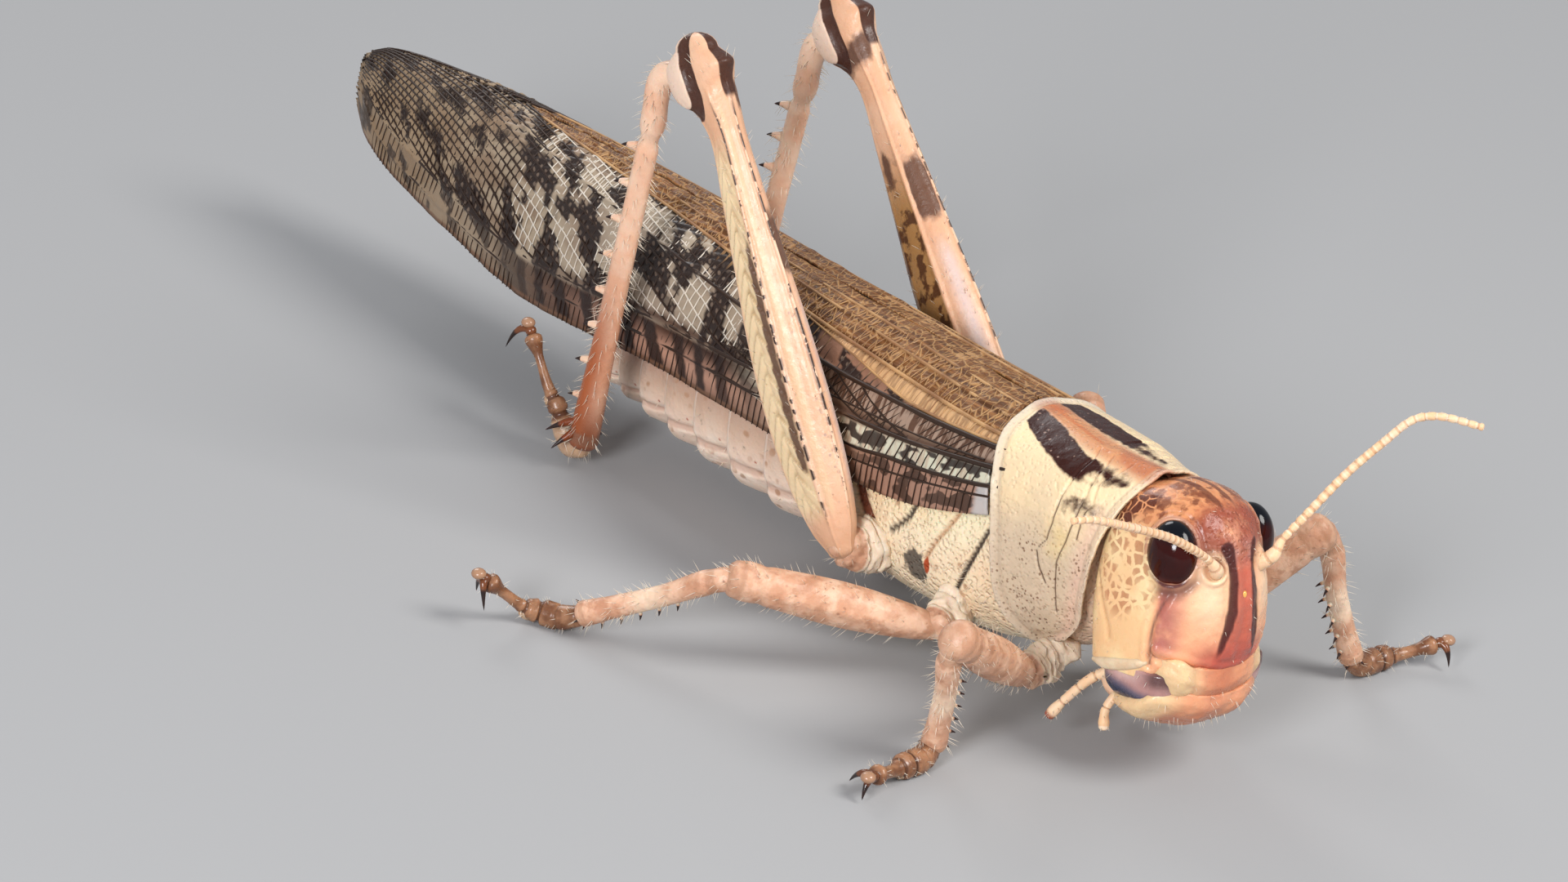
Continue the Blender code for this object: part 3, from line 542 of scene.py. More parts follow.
class Recipe(Tree):
    """A Geometry Nodes tree with named inputs, that ends in one realised mesh of one finish."""

    def __init__(self, name, inputs):
        self.name = name
        self.tree = bpy.data.node_groups.new(name, "GeometryNodeTree")
        face = self.tree.interface
        face.new_socket("Geometry", in_out="INPUT", socket_type="NodeSocketGeometry")
        self.ids = {}
        for label, kind, value in inputs:
            socket = face.new_socket(label, in_out="INPUT", socket_type="NodeSocket" + kind)
            if value is not None:
                socket.default_value = value
            self.ids[label] = socket.identifier
        face.new_socket("Geometry", in_out="OUTPUT", socket_type="NodeSocketGeometry")
        self.start = self.tree.nodes.new("NodeGroupInput")
        self.end = self.tree.nodes.new("NodeGroupOutput")

    def given(self, label):
        return self.start.outputs[label]

    def maths(self, operation, one, two):
        return self.node("ShaderNodeMath", {0: one, 1: two}, operation=operation)

    def added(self, one, two):
        return self.node("ShaderNodeVectorMath", {0: one, 1: two}, operation="ADD")

    def scaled(self, vector, by):
        return self.node("ShaderNodeVectorMath", {0: vector, "Scale": by}, operation="SCALE")

    def stored(self, name, kind="FLOAT_VECTOR"):
        """The value that a mesh holds under a name."""
        return self.node("GeometryNodeInputNamedAttribute", {"Name": name}, data_type=kind)

    def store(self, geometry, name, value, kind="FLOAT_VECTOR", domain="POINT"):
        inputs = {"Geometry": geometry, "Name": name, "Value": value}
        return self.node("GeometryNodeStoreNamedAttribute", inputs, data_type=kind, domain=domain)

    def close(self, geometry):
        real = self.node("GeometryNodeRealizeInstances", {0: geometry})
        inputs = {"Geometry": real, "Material": self.given("Finish")}
        dressed = self.node("GeometryNodeSetMaterial", inputs)
        self.tree.links.new(dressed.outputs[0], self.end.inputs[0])
        return self

    def make(self, name, base, finish, nodes=(), slot=None, **values):
        """Runs the tree on a base mesh and keeps the result as a plain piece."""
        helper = bpy.data.objects.new(name + "_base", base)
        bpy.context.scene.collection.objects.link(helper)
        run = helper.modifiers.new(self.name, "NODES")
        run.node_group = self.tree
        for label, value in {"Finish": finish, **values}.items():
            run[self.ids[label.replace("_", " ")]] = value
        graph = bpy.context.evaluated_depsgraph_get()
        mesh = bpy.data.meshes.new_from_object(helper.evaluated_get(graph))
        helper.modifiers.remove(run)
        bpy.data.objects.remove(helper)
        mesh.name = name
        mesh.shade_smooth()
        for corner in mesh.vertices:
            corner.co.z = max(corner.co.z, 0.0)
        return show(name, mesh, finish, nodes, slot)


class Finish(Tree):
    """A procedural material, built up in layers over a ground colour."""

    prefix = "ShaderNode"

    def __init__(self, name):
        self.material = bpy.data.materials.new(name)
        self.material.use_nodes = True
        self.tree = self.material.node_tree
        self.shader = self.tree.nodes["Principled BSDF"]
        self.place = self.tree.nodes.new("ShaderNodeTexCoord").outputs["Object"]
        self.colour = None
        self.height = None
        self.masks = {}

    def maths(self, operation, *values):
        return self.node("Math", enumerate(values), operation=operation).outputs[0]

    def mask(self, name):
        if name not in self.masks:
            self.masks[name] = self.node("Attribute", attribute_name=name).outputs["Fac"]
        return self.masks[name]

    def stretched(self, stretch):
        """The piece's own place, drawn out along its axes if need be."""
        if not stretch:
            return self.place
        return self.node("Mapping", {"Vector": self.place, "Scale": stretch}).outputs[0]

    def noise(self, scale, detail=3.0, rough=0.55, stretch=None):
        """Random cloud, in features to the millimetre, over the piece's own place."""
        inputs = {"Vector": self.stretched(stretch), "Scale": scale / MM, "Detail": detail,
                  "Roughness": rough}
        return self.node("TexNoise", inputs).outputs["Fac"]

    def cells(self, scale, feature="F1", stretch=None, wobble=0.0):
        """Distance within random cells, in cells to the millimetre; wobble bends their walls."""
        place = self.stretched(stretch)
        if wobble:
            drift = self.node("TexNoise",
                              {"Vector": place, "Scale": scale * 0.8 / MM}).outputs["Color"]
            shift = self.node("VectorMath", {0: drift, 1: (wobble * MM / scale,) * 3},
                              operation="MULTIPLY")
            place = self.node("VectorMath", {0: place, 1: shift.outputs[0]},
                              operation="ADD").outputs[0]
        return self.node("TexVoronoi", {"Vector": place, "Scale": scale / MM},
                         feature=feature).outputs["Distance"]

    def edge(self, value, start, end):
        """A smooth step of a value, from 0 at start to 1 at end."""
        inputs = {"Value": value, "From Min": start, "From Max": end}
        return self.node("MapRange", inputs, interpolation_type="SMOOTHSTEP").outputs[0]

    def base(self, colour, other=None, scale=0.6, stretch=None):
        """The ground colour, or two that drift into each other."""
        self.colour = self.node("RGB").outputs[0]
        self.colour.default_value = (*colour, 1)
        if other:
            self.over(other, self.edge(self.noise(scale, stretch=stretch), 0.38, 0.66))
        return self

    def cloud(self, start, end, *settings, **more):
        """Patches of the random cloud, with an edge from start to end."""
        return self.edge(self.noise(*settings, **more), start, end)

    def spots(self, start, end, *settings, **more):
        """Patches of the cells, with an edge from start to end."""
        return self.edge(self.cells(*settings, **more), start, end)

    def amount(self, what):
        """What a mask's name, a value, or several of them multiplied together come to."""
        if isinstance(what, str):
            return self.mask(what)
        if isinstance(what, tuple):
            value = self.amount(what[0])
            for other in what[1:]:
                value = self.maths("MULTIPLY", value, self.amount(other))
            return value
        return what

    def over(self, colour, fac, strength=1.0):
        """Lays a colour over the ground where the amount says."""
        fac = self.amount(fac)
        if strength != 1.0:
            fac = self.maths("MULTIPLY", fac, strength)
        mix = self.node("Mix", {0: fac, 6: self.colour, 7: (*colour, 1)}, data_type="RGBA")
        self.colour = mix.outputs[2]
        return self

    def layer(self, mask, colour, ragged=0.0, scale=2.0, strength=1.0, soft=0.25, stretch=None):
        """Lays a colour over a mask, whose edge a random field makes ragged."""
        fac = self.mask(mask)
        if ragged:
            drift = self.maths("MULTIPLY_ADD", self.noise(scale, stretch=stretch), ragged,
                               -ragged / 2)
            fac = self.edge(self.maths("ADD", fac, drift), 0.5 - soft, 0.5 + soft)
        return self.over(colour, fac, strength)

    def bump(self, height, depth):
        """Adds relief of that depth, in millimetres."""
        part = self.maths("MULTIPLY", self.amount(height), depth)
        self.height = part if self.height is None else self.maths("ADD", self.height, part)
        return self

    def done(self, rough=0.4, drift=0.1, gloss=0.3, coat=0.0, under=0.12, glow=(1.0, 0.45, 0.25),
             wear=2.5):
        """Sets the shader's own constants and joins colour, roughness and relief."""
        shader, links = self.shader, self.tree.links
        links.new(self.colour, shader.inputs["Base Color"])
        spread = self.edge(self.noise(wear), 0.3, 0.7)
        links.new(self.maths("MULTIPLY_ADD", spread, 2 * drift, rough - drift),
                  shader.inputs["Roughness"])
        constants = {
            "Specular IOR Level": gloss, "Coat Weight": coat, "Coat Roughness": 0.12,
            "Subsurface Weight": under, "Subsurface Radius": glow, "Subsurface Scale": 0.4 * MM,
        }
        for name, value in constants.items():
            shader.inputs[name].default_value = value
        if self.height is not None:
            relief = self.node("Bump", {"Height": self.height, "Distance": MM, "Strength": 1.0})
            links.new(relief.outputs[0], shader.inputs["Normal"])
        return self.material


# ---- Trunk: one skin from the neck to the tail ----

TRUNK_POWER = 2.15
SUTURES = (
    ((3.79, 11.89, -0.72), (3.94, 12.38, -1.99), (4.0, 12.94, -2.61), (4.03, 13.54, -3.14)),
    (
        (3.58, 6.95, -0.04), (3.73, 7.57, -1.26), (3.78, 8.15, -2.58), (3.73, 8.73, -3.73),
        (3.61, 9.28, -4.8),
    ),
)
PALE_SUTURE = ((3.74, 9.3, -0.63), (3.86, 9.97, -1.77), (3.96, 10.57, -2.7), (3.93, 11.04, -3.6))
# The recess between the forewing's lower edge and the body; its dark red-brown colour is painted
# shade.
HOLLOW_SHADE_LINE = ((2.95, 17.8, 0.9), (3.68, 16.55, -0.9), (3.87, 15.8, -2.4), (4.5, 14.9, -3.4))
# Soft swellings of the side: centre, size, rise.
SWELLINGS = (
    ((3.9, 10.6, -4.9), 1.5, 0.12), ((3.9, 7.0, -4.4), 1.3, 0.1), ((4.0, 12.6, -5.0), 1.3, 0.1),
)
STERNUM_LINES = (
    ((0.0, 5.0, -6.3), (1.6, 7.2, -6.9), (1.8, 9.4, -7.0), (2.6, 10.4, -6.6)),
    ((0.0, 10.2, -7.2), (1.7, 11.6, -7.1), (1.9, 13.9, -7.0), (2.7, 14.8, -6.5)),
)


def trunk_grid(y, angle, grow=0.0, power=TRUNK_POWER):
    """Points of the trunk's surface; the angle runs from the back's middle to the animal's left."""
    wide, top, bottom, middle = np.moveaxis(along(TRUNK, y), -1, 0)
    across, up = bulge(angle, power)
    tall = np.where(up > 0, top - middle, middle - bottom) + grow
    return np.stack([across * (wide + grow), y + 0 * angle, middle + up * tall], -1)


def make_trunk():
    y = np.concatenate([np.linspace(1.3, 17.2, 210), np.linspace(17.3, 39.6, 230)])[:, None]
    angle = circle(190)[None]
    points = trunk_grid(y + 0 * angle, angle + 0 * y)
    low = step(-np.cos(angle), -0.35, 0.1)
    grow = np.zeros_like(points[..., 0])
    rim = np.zeros_like(grow)
    for start, end in zip(SEGMENT_ENDS, SEGMENT_ENDS[1:]):
        share = np.clip((y - start) / (end - start), 0, 1)
        within = (y >= start) & (y < end)
        ramp = -0.1 + 0.2 * step(share, 0.0, 0.75) - 0.08 * step(share, 0.9, 1.0)
        plate = hump(np.degrees(np.arccos(np.cos(angle))), 135, 40)
        grow += within * (ramp + 0.55 * plate * (share - 0.62))
        rim = np.maximum(rim, within * step(share, 0.86, 0.95) + 0 * angle)
    flank = hump(np.degrees(np.arccos(-np.cos(angle))), 63, 9)
    abdomen = step(y, 16.6, 17.6)
    grow -= 0.13 * flank * abdomen
    dark = np.zeros_like(grow)
    for line in SUTURES:
        gap = line_gap(points, line, True)
        grow -= 0.14 * hump(gap, 0, 0.22)
        dark = np.maximum(dark, step(-gap, -0.17, -0.08))
    pale = hump(line_gap(points, PALE_SUTURE, True), 0, 0.2)
    grow -= 0.12 * pale
    hollow = hump(line_gap(points, HOLLOW_SHADE_LINE, True), 0, 0.5)
    grow -= 0.22 * hollow
    for line in STERNUM_LINES:
        grow -= 0.1 * hump(line_gap(points, line), 0, 0.2)
    swell = rough_field(points, 0.55, 3) - 0.5
    grow += 0.12 * swell * (1 - abdomen)
    for centre, size, rise in SWELLINGS:
        grow += rise * hump(span(mirrored(points), centre), 0, size)
    points = trunk_grid(y + 0 * angle, angle + 0 * y, grow)
    flank_side = mirrored(points)
    spot = np.linalg.norm((flank_side - np.array((3.9, 11.75, -4.3))) * np.array((1, 1.0, 0.75)),
                          axis=-1)
    breath = np.linalg.norm((flank_side - np.array((3.85, 10.95, -3.95))) * np.array((1, 2.2, 1.0)),
                            axis=-1)
    holes = np.zeros_like(grow)
    for start, end in zip(SEGMENT_ENDS[:8], SEGMENT_ENDS[1:9]):
        place = trunk_grid(np.array(start + 0.25 * (end - start)), np.array(math.radians(104)))
        holes = np.maximum(holes, hump(span(flank_side, place), 0, 0.22))
    masks = {
        "suture": dark,
        "seam": pale,
        "hollow": hollow,
        "patch": step(-spot, -1.05, -0.35),
        "breath": step(-breath, -0.55, -0.3) + holes,
        "abdomen": abdomen + 0 * angle,
        "rim": rim,
        "under": low * np.ones_like(y),
        "upper": step(np.cos(angle), -0.42, 0.1) * np.ones_like(y),
        "fold": flank * abdomen,
        "front": step(-y, -6.8, -5.5) + 0 * angle,
    }
    poles = points[0].mean(0) - (0, 0.3, 0), points[-1].mean(0) + (0, 0.6, -0.1)
    skin = Shape().grid(points, poles=poles, masks=masks)
    paint = Finish("trunk_cuticle").base((0.95, 0.84, 0.57), (0.92, 0.71, 0.43), 0.45)
    paint.layer("abdomen", (0.95, 0.75, 0.64), 0.2)
    paint.over((0.96, 0.86, 0.77), ("abdomen", paint.cloud(0.45, 0.7, 0.9)))
    paint.over((0.3, 0.14, 0.08), ("upper", "abdomen"), 0.8)
    paint.layer("front", (0.75, 0.52, 0.36), 0.2)
    paint.over((0.84, 0.62, 0.45), paint.maths("MULTIPLY", paint.mask("under"), 0.5))
    paint.layer("rim", (0.9, 0.74, 0.62), 0.1, strength=0.6)
    paint.layer("fold", (0.62, 0.38, 0.28), 0.3, strength=0.6)
    freckle = paint.spots(0.3, 0.16, 1.15, wobble=0.5)
    paint.over((0.4, 0.2, 0.1), (freckle, paint.cloud(0.42, 0.62, 0.5)), 0.7)
    paint.over((0.5, 0.22, 0.09), "seam", 0.85)
    paint.over((0.035, 0.02, 0.015), "suture", 0.95)
    # Painted shade: dark red-brown in the recess between the wing's lower edge and the body.
    paint.over((0.2, 0.03, 0.008), paint.edge(paint.mask("hollow"), 0.1, 0.6), 0.92)
    paint.layer("patch", (0.06, 0.05, 0.045), 1.9, 2.2, strength=0.9)
    paint.layer("breath", (0.42, 0.07, 0.02), 0.2)
    pits = paint.spots(0.05, 0.5, 4.6, "SMOOTH_F1")
    chest = paint.maths("SUBTRACT", 1.0, paint.maths("MULTIPLY", paint.mask("abdomen"), 0.9))
    paint.bump((pits, chest), 0.08)
    paint.bump(paint.noise(1.5, 4), 0.09)
    paint.bump(paint.noise(14, 3, stretch=(1, 0.35, 1)), 0.012)
    finish = paint.done(0.42, 0.12, under=0.25, glow=(1.0, 0.5, 0.3))
    nodes = ("prothorax", "thorax", "abdomen_front", "abdomen_middle", "abdomen_rear")
    skin.finish("trunk_skin", finish, nodes, "trunk", "belly")
    valves = Shape()
    for side in (-1, 1):
        for high, long in ((0.42, 1.1), (-0.42, 1.0)):
            root = np.array((side * 0.42, 39.35, -4.05 + high))
            thorn(valves, root, root + (0.1 * -side, long, 0.38 * np.sign(high)), 0.34,
                  (0, 0, -0.18 * np.sign(high)), masks={"tip": lambda s: step(s, 0.3, 0.8)})
        root = np.array((side * 1.0, 38.6, -2.9))
        thorn(valves, root, root + (0.25 * side, 0.9, 0.0), 0.2, masks={"tip": lambda s: 0 * s})
    horn = Finish("tail_horn").base((0.62, 0.36, 0.2)).layer("tip", (0.05, 0.025, 0.02), 0.3)
    horn.bump(horn.noise(6), 0.02)
    valves.finish("tail_valves", horn.done(0.3), (), "trunk", "belly")


# ---- Pronotum: the saddle over the front of the trunk ----

KEEL_COURSE = ((-0.5, -0.6), (1.2, -0.72), (3.4, -0.85), (5.0, -0.62), (7.3, -0.18))
SULCI = (
    (
        (0.0, 1.3, 4.3), (1.6, 1.45, 4.0), (2.26, 1.79, 3.52), (2.95, 1.48, 2.68),
        (3.17, 1.67, 2.28), (3.5, 1.7, 1.0),
    ),
    (
        (0.0, 2.35, 4.3), (1.8, 2.2, 4.0), (2.98, 1.97, 2.87), (3.47, 2.04, 1.83),
        (3.82, 2.24, 0.71), (3.85, 2.53, -0.43), (3.85, 2.55, -1.65), (3.7, 2.5, -3.0),
    ),
    (
        (0.0, 3.15, 4.4), (1.9, 3.0, 4.2), (3.03, 2.99, 3.32), (3.4, 3.1, 2.52), (3.92, 3.11, 1.32),
        (3.96, 3.3, 0.41), (4.0, 3.69, -0.1),
    ),
)
# The dark bars beside the keel: their inner and outer edges, by place along the back.
BAND_INNER = (
    (0.3, 0.65), (1.4, 0.8), (2.5, 0.95), (3.4, 1.05), (4.0, 0.95), (5.6, 0.75), (7.4, 0.6),
)
BAND_OUTER = (
    (0.3, 1.2), (1.4, 1.75), (2.5, 2.1), (4.0, 2.12), (5.6, 2.05), (6.8, 1.9), (7.4, 1.7),
)
LOBE_SCAR = ((3.98, 3.75, -0.3), (4.0, 3.5, -1.0), (3.95, 3.1, -1.7))
PRONOTUM_EDGE = 0.26
PRONOTUM_THICKNESS = 0.16


def pronotum_grid(turn, share, lift=0.0):
    """Points of the pronotum: turn in degrees from its keel, share from its front to its rear."""
    front, rear = np.moveaxis(along(SADDLE, np.abs(turn)), -1, 0)
    y = front + (rear - front) * share
    lean = course(KEEL_COURSE, y) * 10.5
    keel = 0.2 * np.exp(-(((turn - lean) / 7.0) ** 2))
    flare = 0.18 * share**4
    grow = PRONOTUM_LIFT + SHELL + keel + flare + lift
    power = SADDLE_POWER[0] + (SADDLE_POWER[1] - SADDLE_POWER[0]) * np.minimum(share / 0.4, 1)
    blend = step(np.abs(turn), 70, 104)
    top = trunk_grid(np.maximum(y, 1.0), np.radians(turn), grow, power)
    low = trunk_grid(np.maximum(y, 1.0), np.radians(turn), grow)
    points = top * (1 - blend[..., None]) + low * blend[..., None]
    points[..., 1] += np.minimum(y - 1.0, 0)
    return points


def make_pronotum():
    turn = np.linspace(-136, 136, 300)[None]
    share = np.linspace(0, 1, 130)[:, None]
    turn, share = turn + 0 * share, share + 0 * turn
    front, rear = np.moveaxis(along(SADDLE, np.abs(turn)), -1, 0)
    length = rear - front
    points = pronotum_grid(turn, share)
    ahead, behind = share * length, (1 - share) * length
    low = (136 - np.abs(turn)) * 0.072
    from_edge = np.minimum(np.minimum(ahead, behind), low)
    lift = 0.07 * fall(from_edge, 0.0, PRONOTUM_EDGE) - 0.05 * hump(from_edge, 0.42, 0.22)
    groove = np.zeros_like(turn)
    for line in SULCI:
        groove = np.maximum(groove, hump(line_gap(points, line, True), 0, 0.11))
    scar = hump(line_gap(points, LOBE_SCAR, True), 0, 0.14)
    side = step(np.abs(turn), 40, 62)
    swell = rough_field(points, 0.8, 5) - 0.5
    collar = hump(ahead, 0.75, 0.5) * side
    lift = (lift - 0.1 * groove * (1 - 0.6 * np.exp(-((turn / 9.0) ** 2))) - 0.1 * scar
            + 0.1 * swell * side)
    lift -= 0.05 * collar
    points = pronotum_grid(turn, share, lift)
    y = points[..., 1]
    x = np.abs(points[..., 0] - course(KEEL_COURSE, y))
    inner, outer = course(BAND_INNER, y), course(BAND_OUTER, y)
    upper = points[..., 2] > 1.5
    band = step(x, inner - 0.25, inner + 0.15) * fall(x, outer - 0.15, outer + 0.25) * upper
    band *= step(behind, 0.35, 0.75) * step(y, 0.2, 0.8)
    breaks = 0.56 * step(-y, -3.2, -2.2) * (1 - hump(x, 1.3, 0.4) * 0.4)
    shade = step(-y, -3.6, -2.4) * step(y, 0.3, 1.0) * hump(points[..., 2], 2.7, 1.3) * side * 0.74
    masks = {
        "band": np.maximum(band * (1 - breaks), shade),
        "stripe": fall(x, 0.35, 1.1),
        "crest": hump(x, 0, 0.3) * step(y, 2.0, 4.5),
        "rim": fall(from_edge, 0.08, 0.34),
        "glass": fall(behind, 0.15, 0.6) * fall(np.abs(turn), 60, 90),
        "groove": np.maximum(groove, scar) * side,
        "yolk": hump(y, 2.7, 1.1) * hump(points[..., 2], 0.8, 1.8) * side,
        "hem": hump(from_edge, 0.4, 0.1),
        "lobe": step(np.abs(turn), 66, 90),
        "speckle": step(-points[..., 2], -2.2, 0.4) * side,
        "fore": hump(ahead, 0.6, 0.75) * side,
    }
    shell = Shape().slab(points, pronotum_grid(turn, share, lift - PRONOTUM_THICKNESS), masks)
    paint = Finish("pronotum_shell").base((0.76, 0.58, 0.37), (0.82, 0.62, 0.38), 0.35)
    paint.over((0.6, 0.47, 0.34), "lobe", 0.85)
    paint.over((0.72, 0.48, 0.36), "fore", 0.7)
    paint.over((0.44, 0.15, 0.07), "stripe", 0.95)
    paint.over((0.6, 0.29, 0.14), ("stripe", paint.cloud(0.45, 0.62, 0.55)), 0.8)
    paint.layer("crest", (0.55, 0.15, 0.05), 0.9, 1.4, strength=0.6)
    dots = paint.spots(0.36, 0.2, 4.4, wobble=0.6)
    some = paint.cloud(0.36, 0.58, 0.8)
    paint.over((0.22, 0.12, 0.07), (dots, some, "speckle"), 0.9)
    stain = paint.cloud(0.6, 0.68, 1.1, 2)
    paint.over((0.36, 0.24, 0.15), (stain, "fore"), 0.6)
    paint.over((0.5, 0.46, 0.4), "glass", 0.55)
    paint.layer("band", (0.034, 0.008, 0.005), 0.95, 2.0, soft=0.24)
    flecks = paint.spots(0.18, 0.1, 2.2, wobble=0.4)
    paint.over((0.45, 0.3, 0.24), (flecks, "band"), 0.5)
    paint.over((0.8, 0.6, 0.26), ("yolk", paint.cloud(0.3, 0.6, 0.6)), 0.6)
    paint.over((0.1, 0.05, 0.03), paint.edge(paint.mask("groove"), 0.45, 0.95), 0.85)
    paint.over((0.5, 0.38, 0.27), "hem", 0.55)
    paint.over((0.7, 0.58, 0.46), "rim", 0.35)
    pits = paint.spots(0.05, 0.45, 4.6, "SMOOTH_F1")
    paint.bump((pits, paint.maths("SUBTRACT", 1.0, paint.mask("band"))), 0.03)
    paint.bump(paint.noise(1.1, 3), 0.07)
    paint.bump(paint.noise(18, 2), 0.008)
    finish = paint.done(0.3, 0.1, gloss=0.22, coat=0.04, under=0.15)
    shell.finish("pronotum_shell", finish, ("pronotum",), "trunk", "shell")


# ---- Head: capsule, eyes, ocelli and mouthparts ----

FACE_STRIPE = (
    (0.85, -5.2, 1.5), (0.74, -5.28, 1.2), (0.66, -5.34, 0.85), (0.66, -5.59, 0.01),
    (0.74, -5.79, -1.23), (0.92, -5.78, -2.29), (1.1, -5.62, -3.2), (1.2, -5.5, -3.7),
)
CHEEK_SUTURE = (
    (3.05, -4.1, -0.55), (3.34, -3.96, -1.1), (3.51, -3.8, -1.72), (3.61, -3.72, -2.33),
    (3.62, -3.73, -2.91), (3.62, -3.77, -3.49), (3.55, -3.8, -4.0),
)
FRONS_EDGE = (
    (3.62, -3.8, -3.55), (2.78, -4.74, -3.78), (1.6, -5.33, -4.1), (0.7, -5.48, -4.36),
    (0.0, -5.55, -4.42),
)
GENA_FOLD = (
    (3.35, 0.2, -0.9), (3.62, -0.45, -1.63), (3.8, -0.95, -2.3), (3.88, -1.36, -2.9),
    (3.9, -1.5, -3.4),
)
# Half widths of the face's stripe and of its ridge, by height.
STRIPE_HALF = ((-3.7, 0.04), (-3.0, 0.12), (-1.6, 0.2), (-0.5, 0.19), (0.8, 0.2), (1.6, 0.3))
RIDGE_HALF = ((-4.4, 1.35), (-3.0, 1.05), (-1.6, 0.72), (-0.3, 0.6), (0.8, 0.7), (1.6, 1.0))
# Dark spots of the crown: middle, size.
CROWN_SPOTS = (
    ((2.4, -1.0, 2.55), 0.85), ((2.8, -0.75, 1.9), 0.7), ((2.2, -1.75, 2.85), 0.6),
    ((2.95, -0.25, 1.6), 0.5),
)
CROWN = (0, -2.25, HEAD_CROWN)
SOCKETS = {side: head_place(FEELERS[side][1]) for side in ("right", "left")}


def head_grid(share, turn):
    """Points of the head capsule: share from its crown down, turn from its back to its left."""
    top, bottom = HEAD[0][0], HEAD[-1][0]
    z = top + (bottom - top) * share**1.25
    profile = [(-row[0], *row[1:]) for row in HEAD]
    wide, front, back = np.moveaxis(along(profile, -z), -1, 0)
    behind = np.cos(turn) > 0
    a1, b1 = bulge(turn, 3.2)
    a2, b2 = bulge(turn, 2.2)
    soft = step(np.cos(turn), -0.25, 0.25)
    a, b = a2 * (1 - soft) + a1 * soft, np.where(behind, b1, b2)
    reach = np.where(behind, back - HEAD_MIDDLE, HEAD_MIDDLE - front)
    return np.stack([wide * a, HEAD_MIDDLE + reach * b, z], -1)


def head_surface():
    """The capsule as a smooth dome: the crown's rings run in to the top without a flat."""
    share = np.linspace(0, 1, 210)[:, None]
    turn = circle(240)[None]
    grid = head_grid(share + 0 * turn, turn + 0 * share)
    crown = np.array(CROWN)
    ring = grid[0]
    cap = []
    for t in np.linspace(0.06, 0.94, 16):
        rise = crown[2] - (crown[2] - ring[:, 2]) * t**2.0
        row = crown + (ring - crown) * t**0.8
        row[:, 2] = rise
        cap.append(row)
    grid = np.concatenate([np.array(cap), grid])
    for _ in range(6):
        lo = slice(8, 34)
        grid[lo] = (grid[7:33] + grid[lo] * 2 + grid[9:35]) / 4
    return grid


def outward(grid):
    """Each point's outward direction on a closed grid."""
    along_rows = np.gradient(grid, axis=0)
    around = np.roll(grid, -1, 1) - np.roll(grid, 1, 1)
    normal = np.cross(along_rows, around)
    normal /= np.linalg.norm(normal, axis=-1)[..., None] + 1e-9
    centre = grid.mean(axis=(0, 1))
    sign = np.sign(np.einsum("rci,rci->rc", normal, grid - centre))
    return normal * np.where(sign == 0, 1, sign)[..., None]


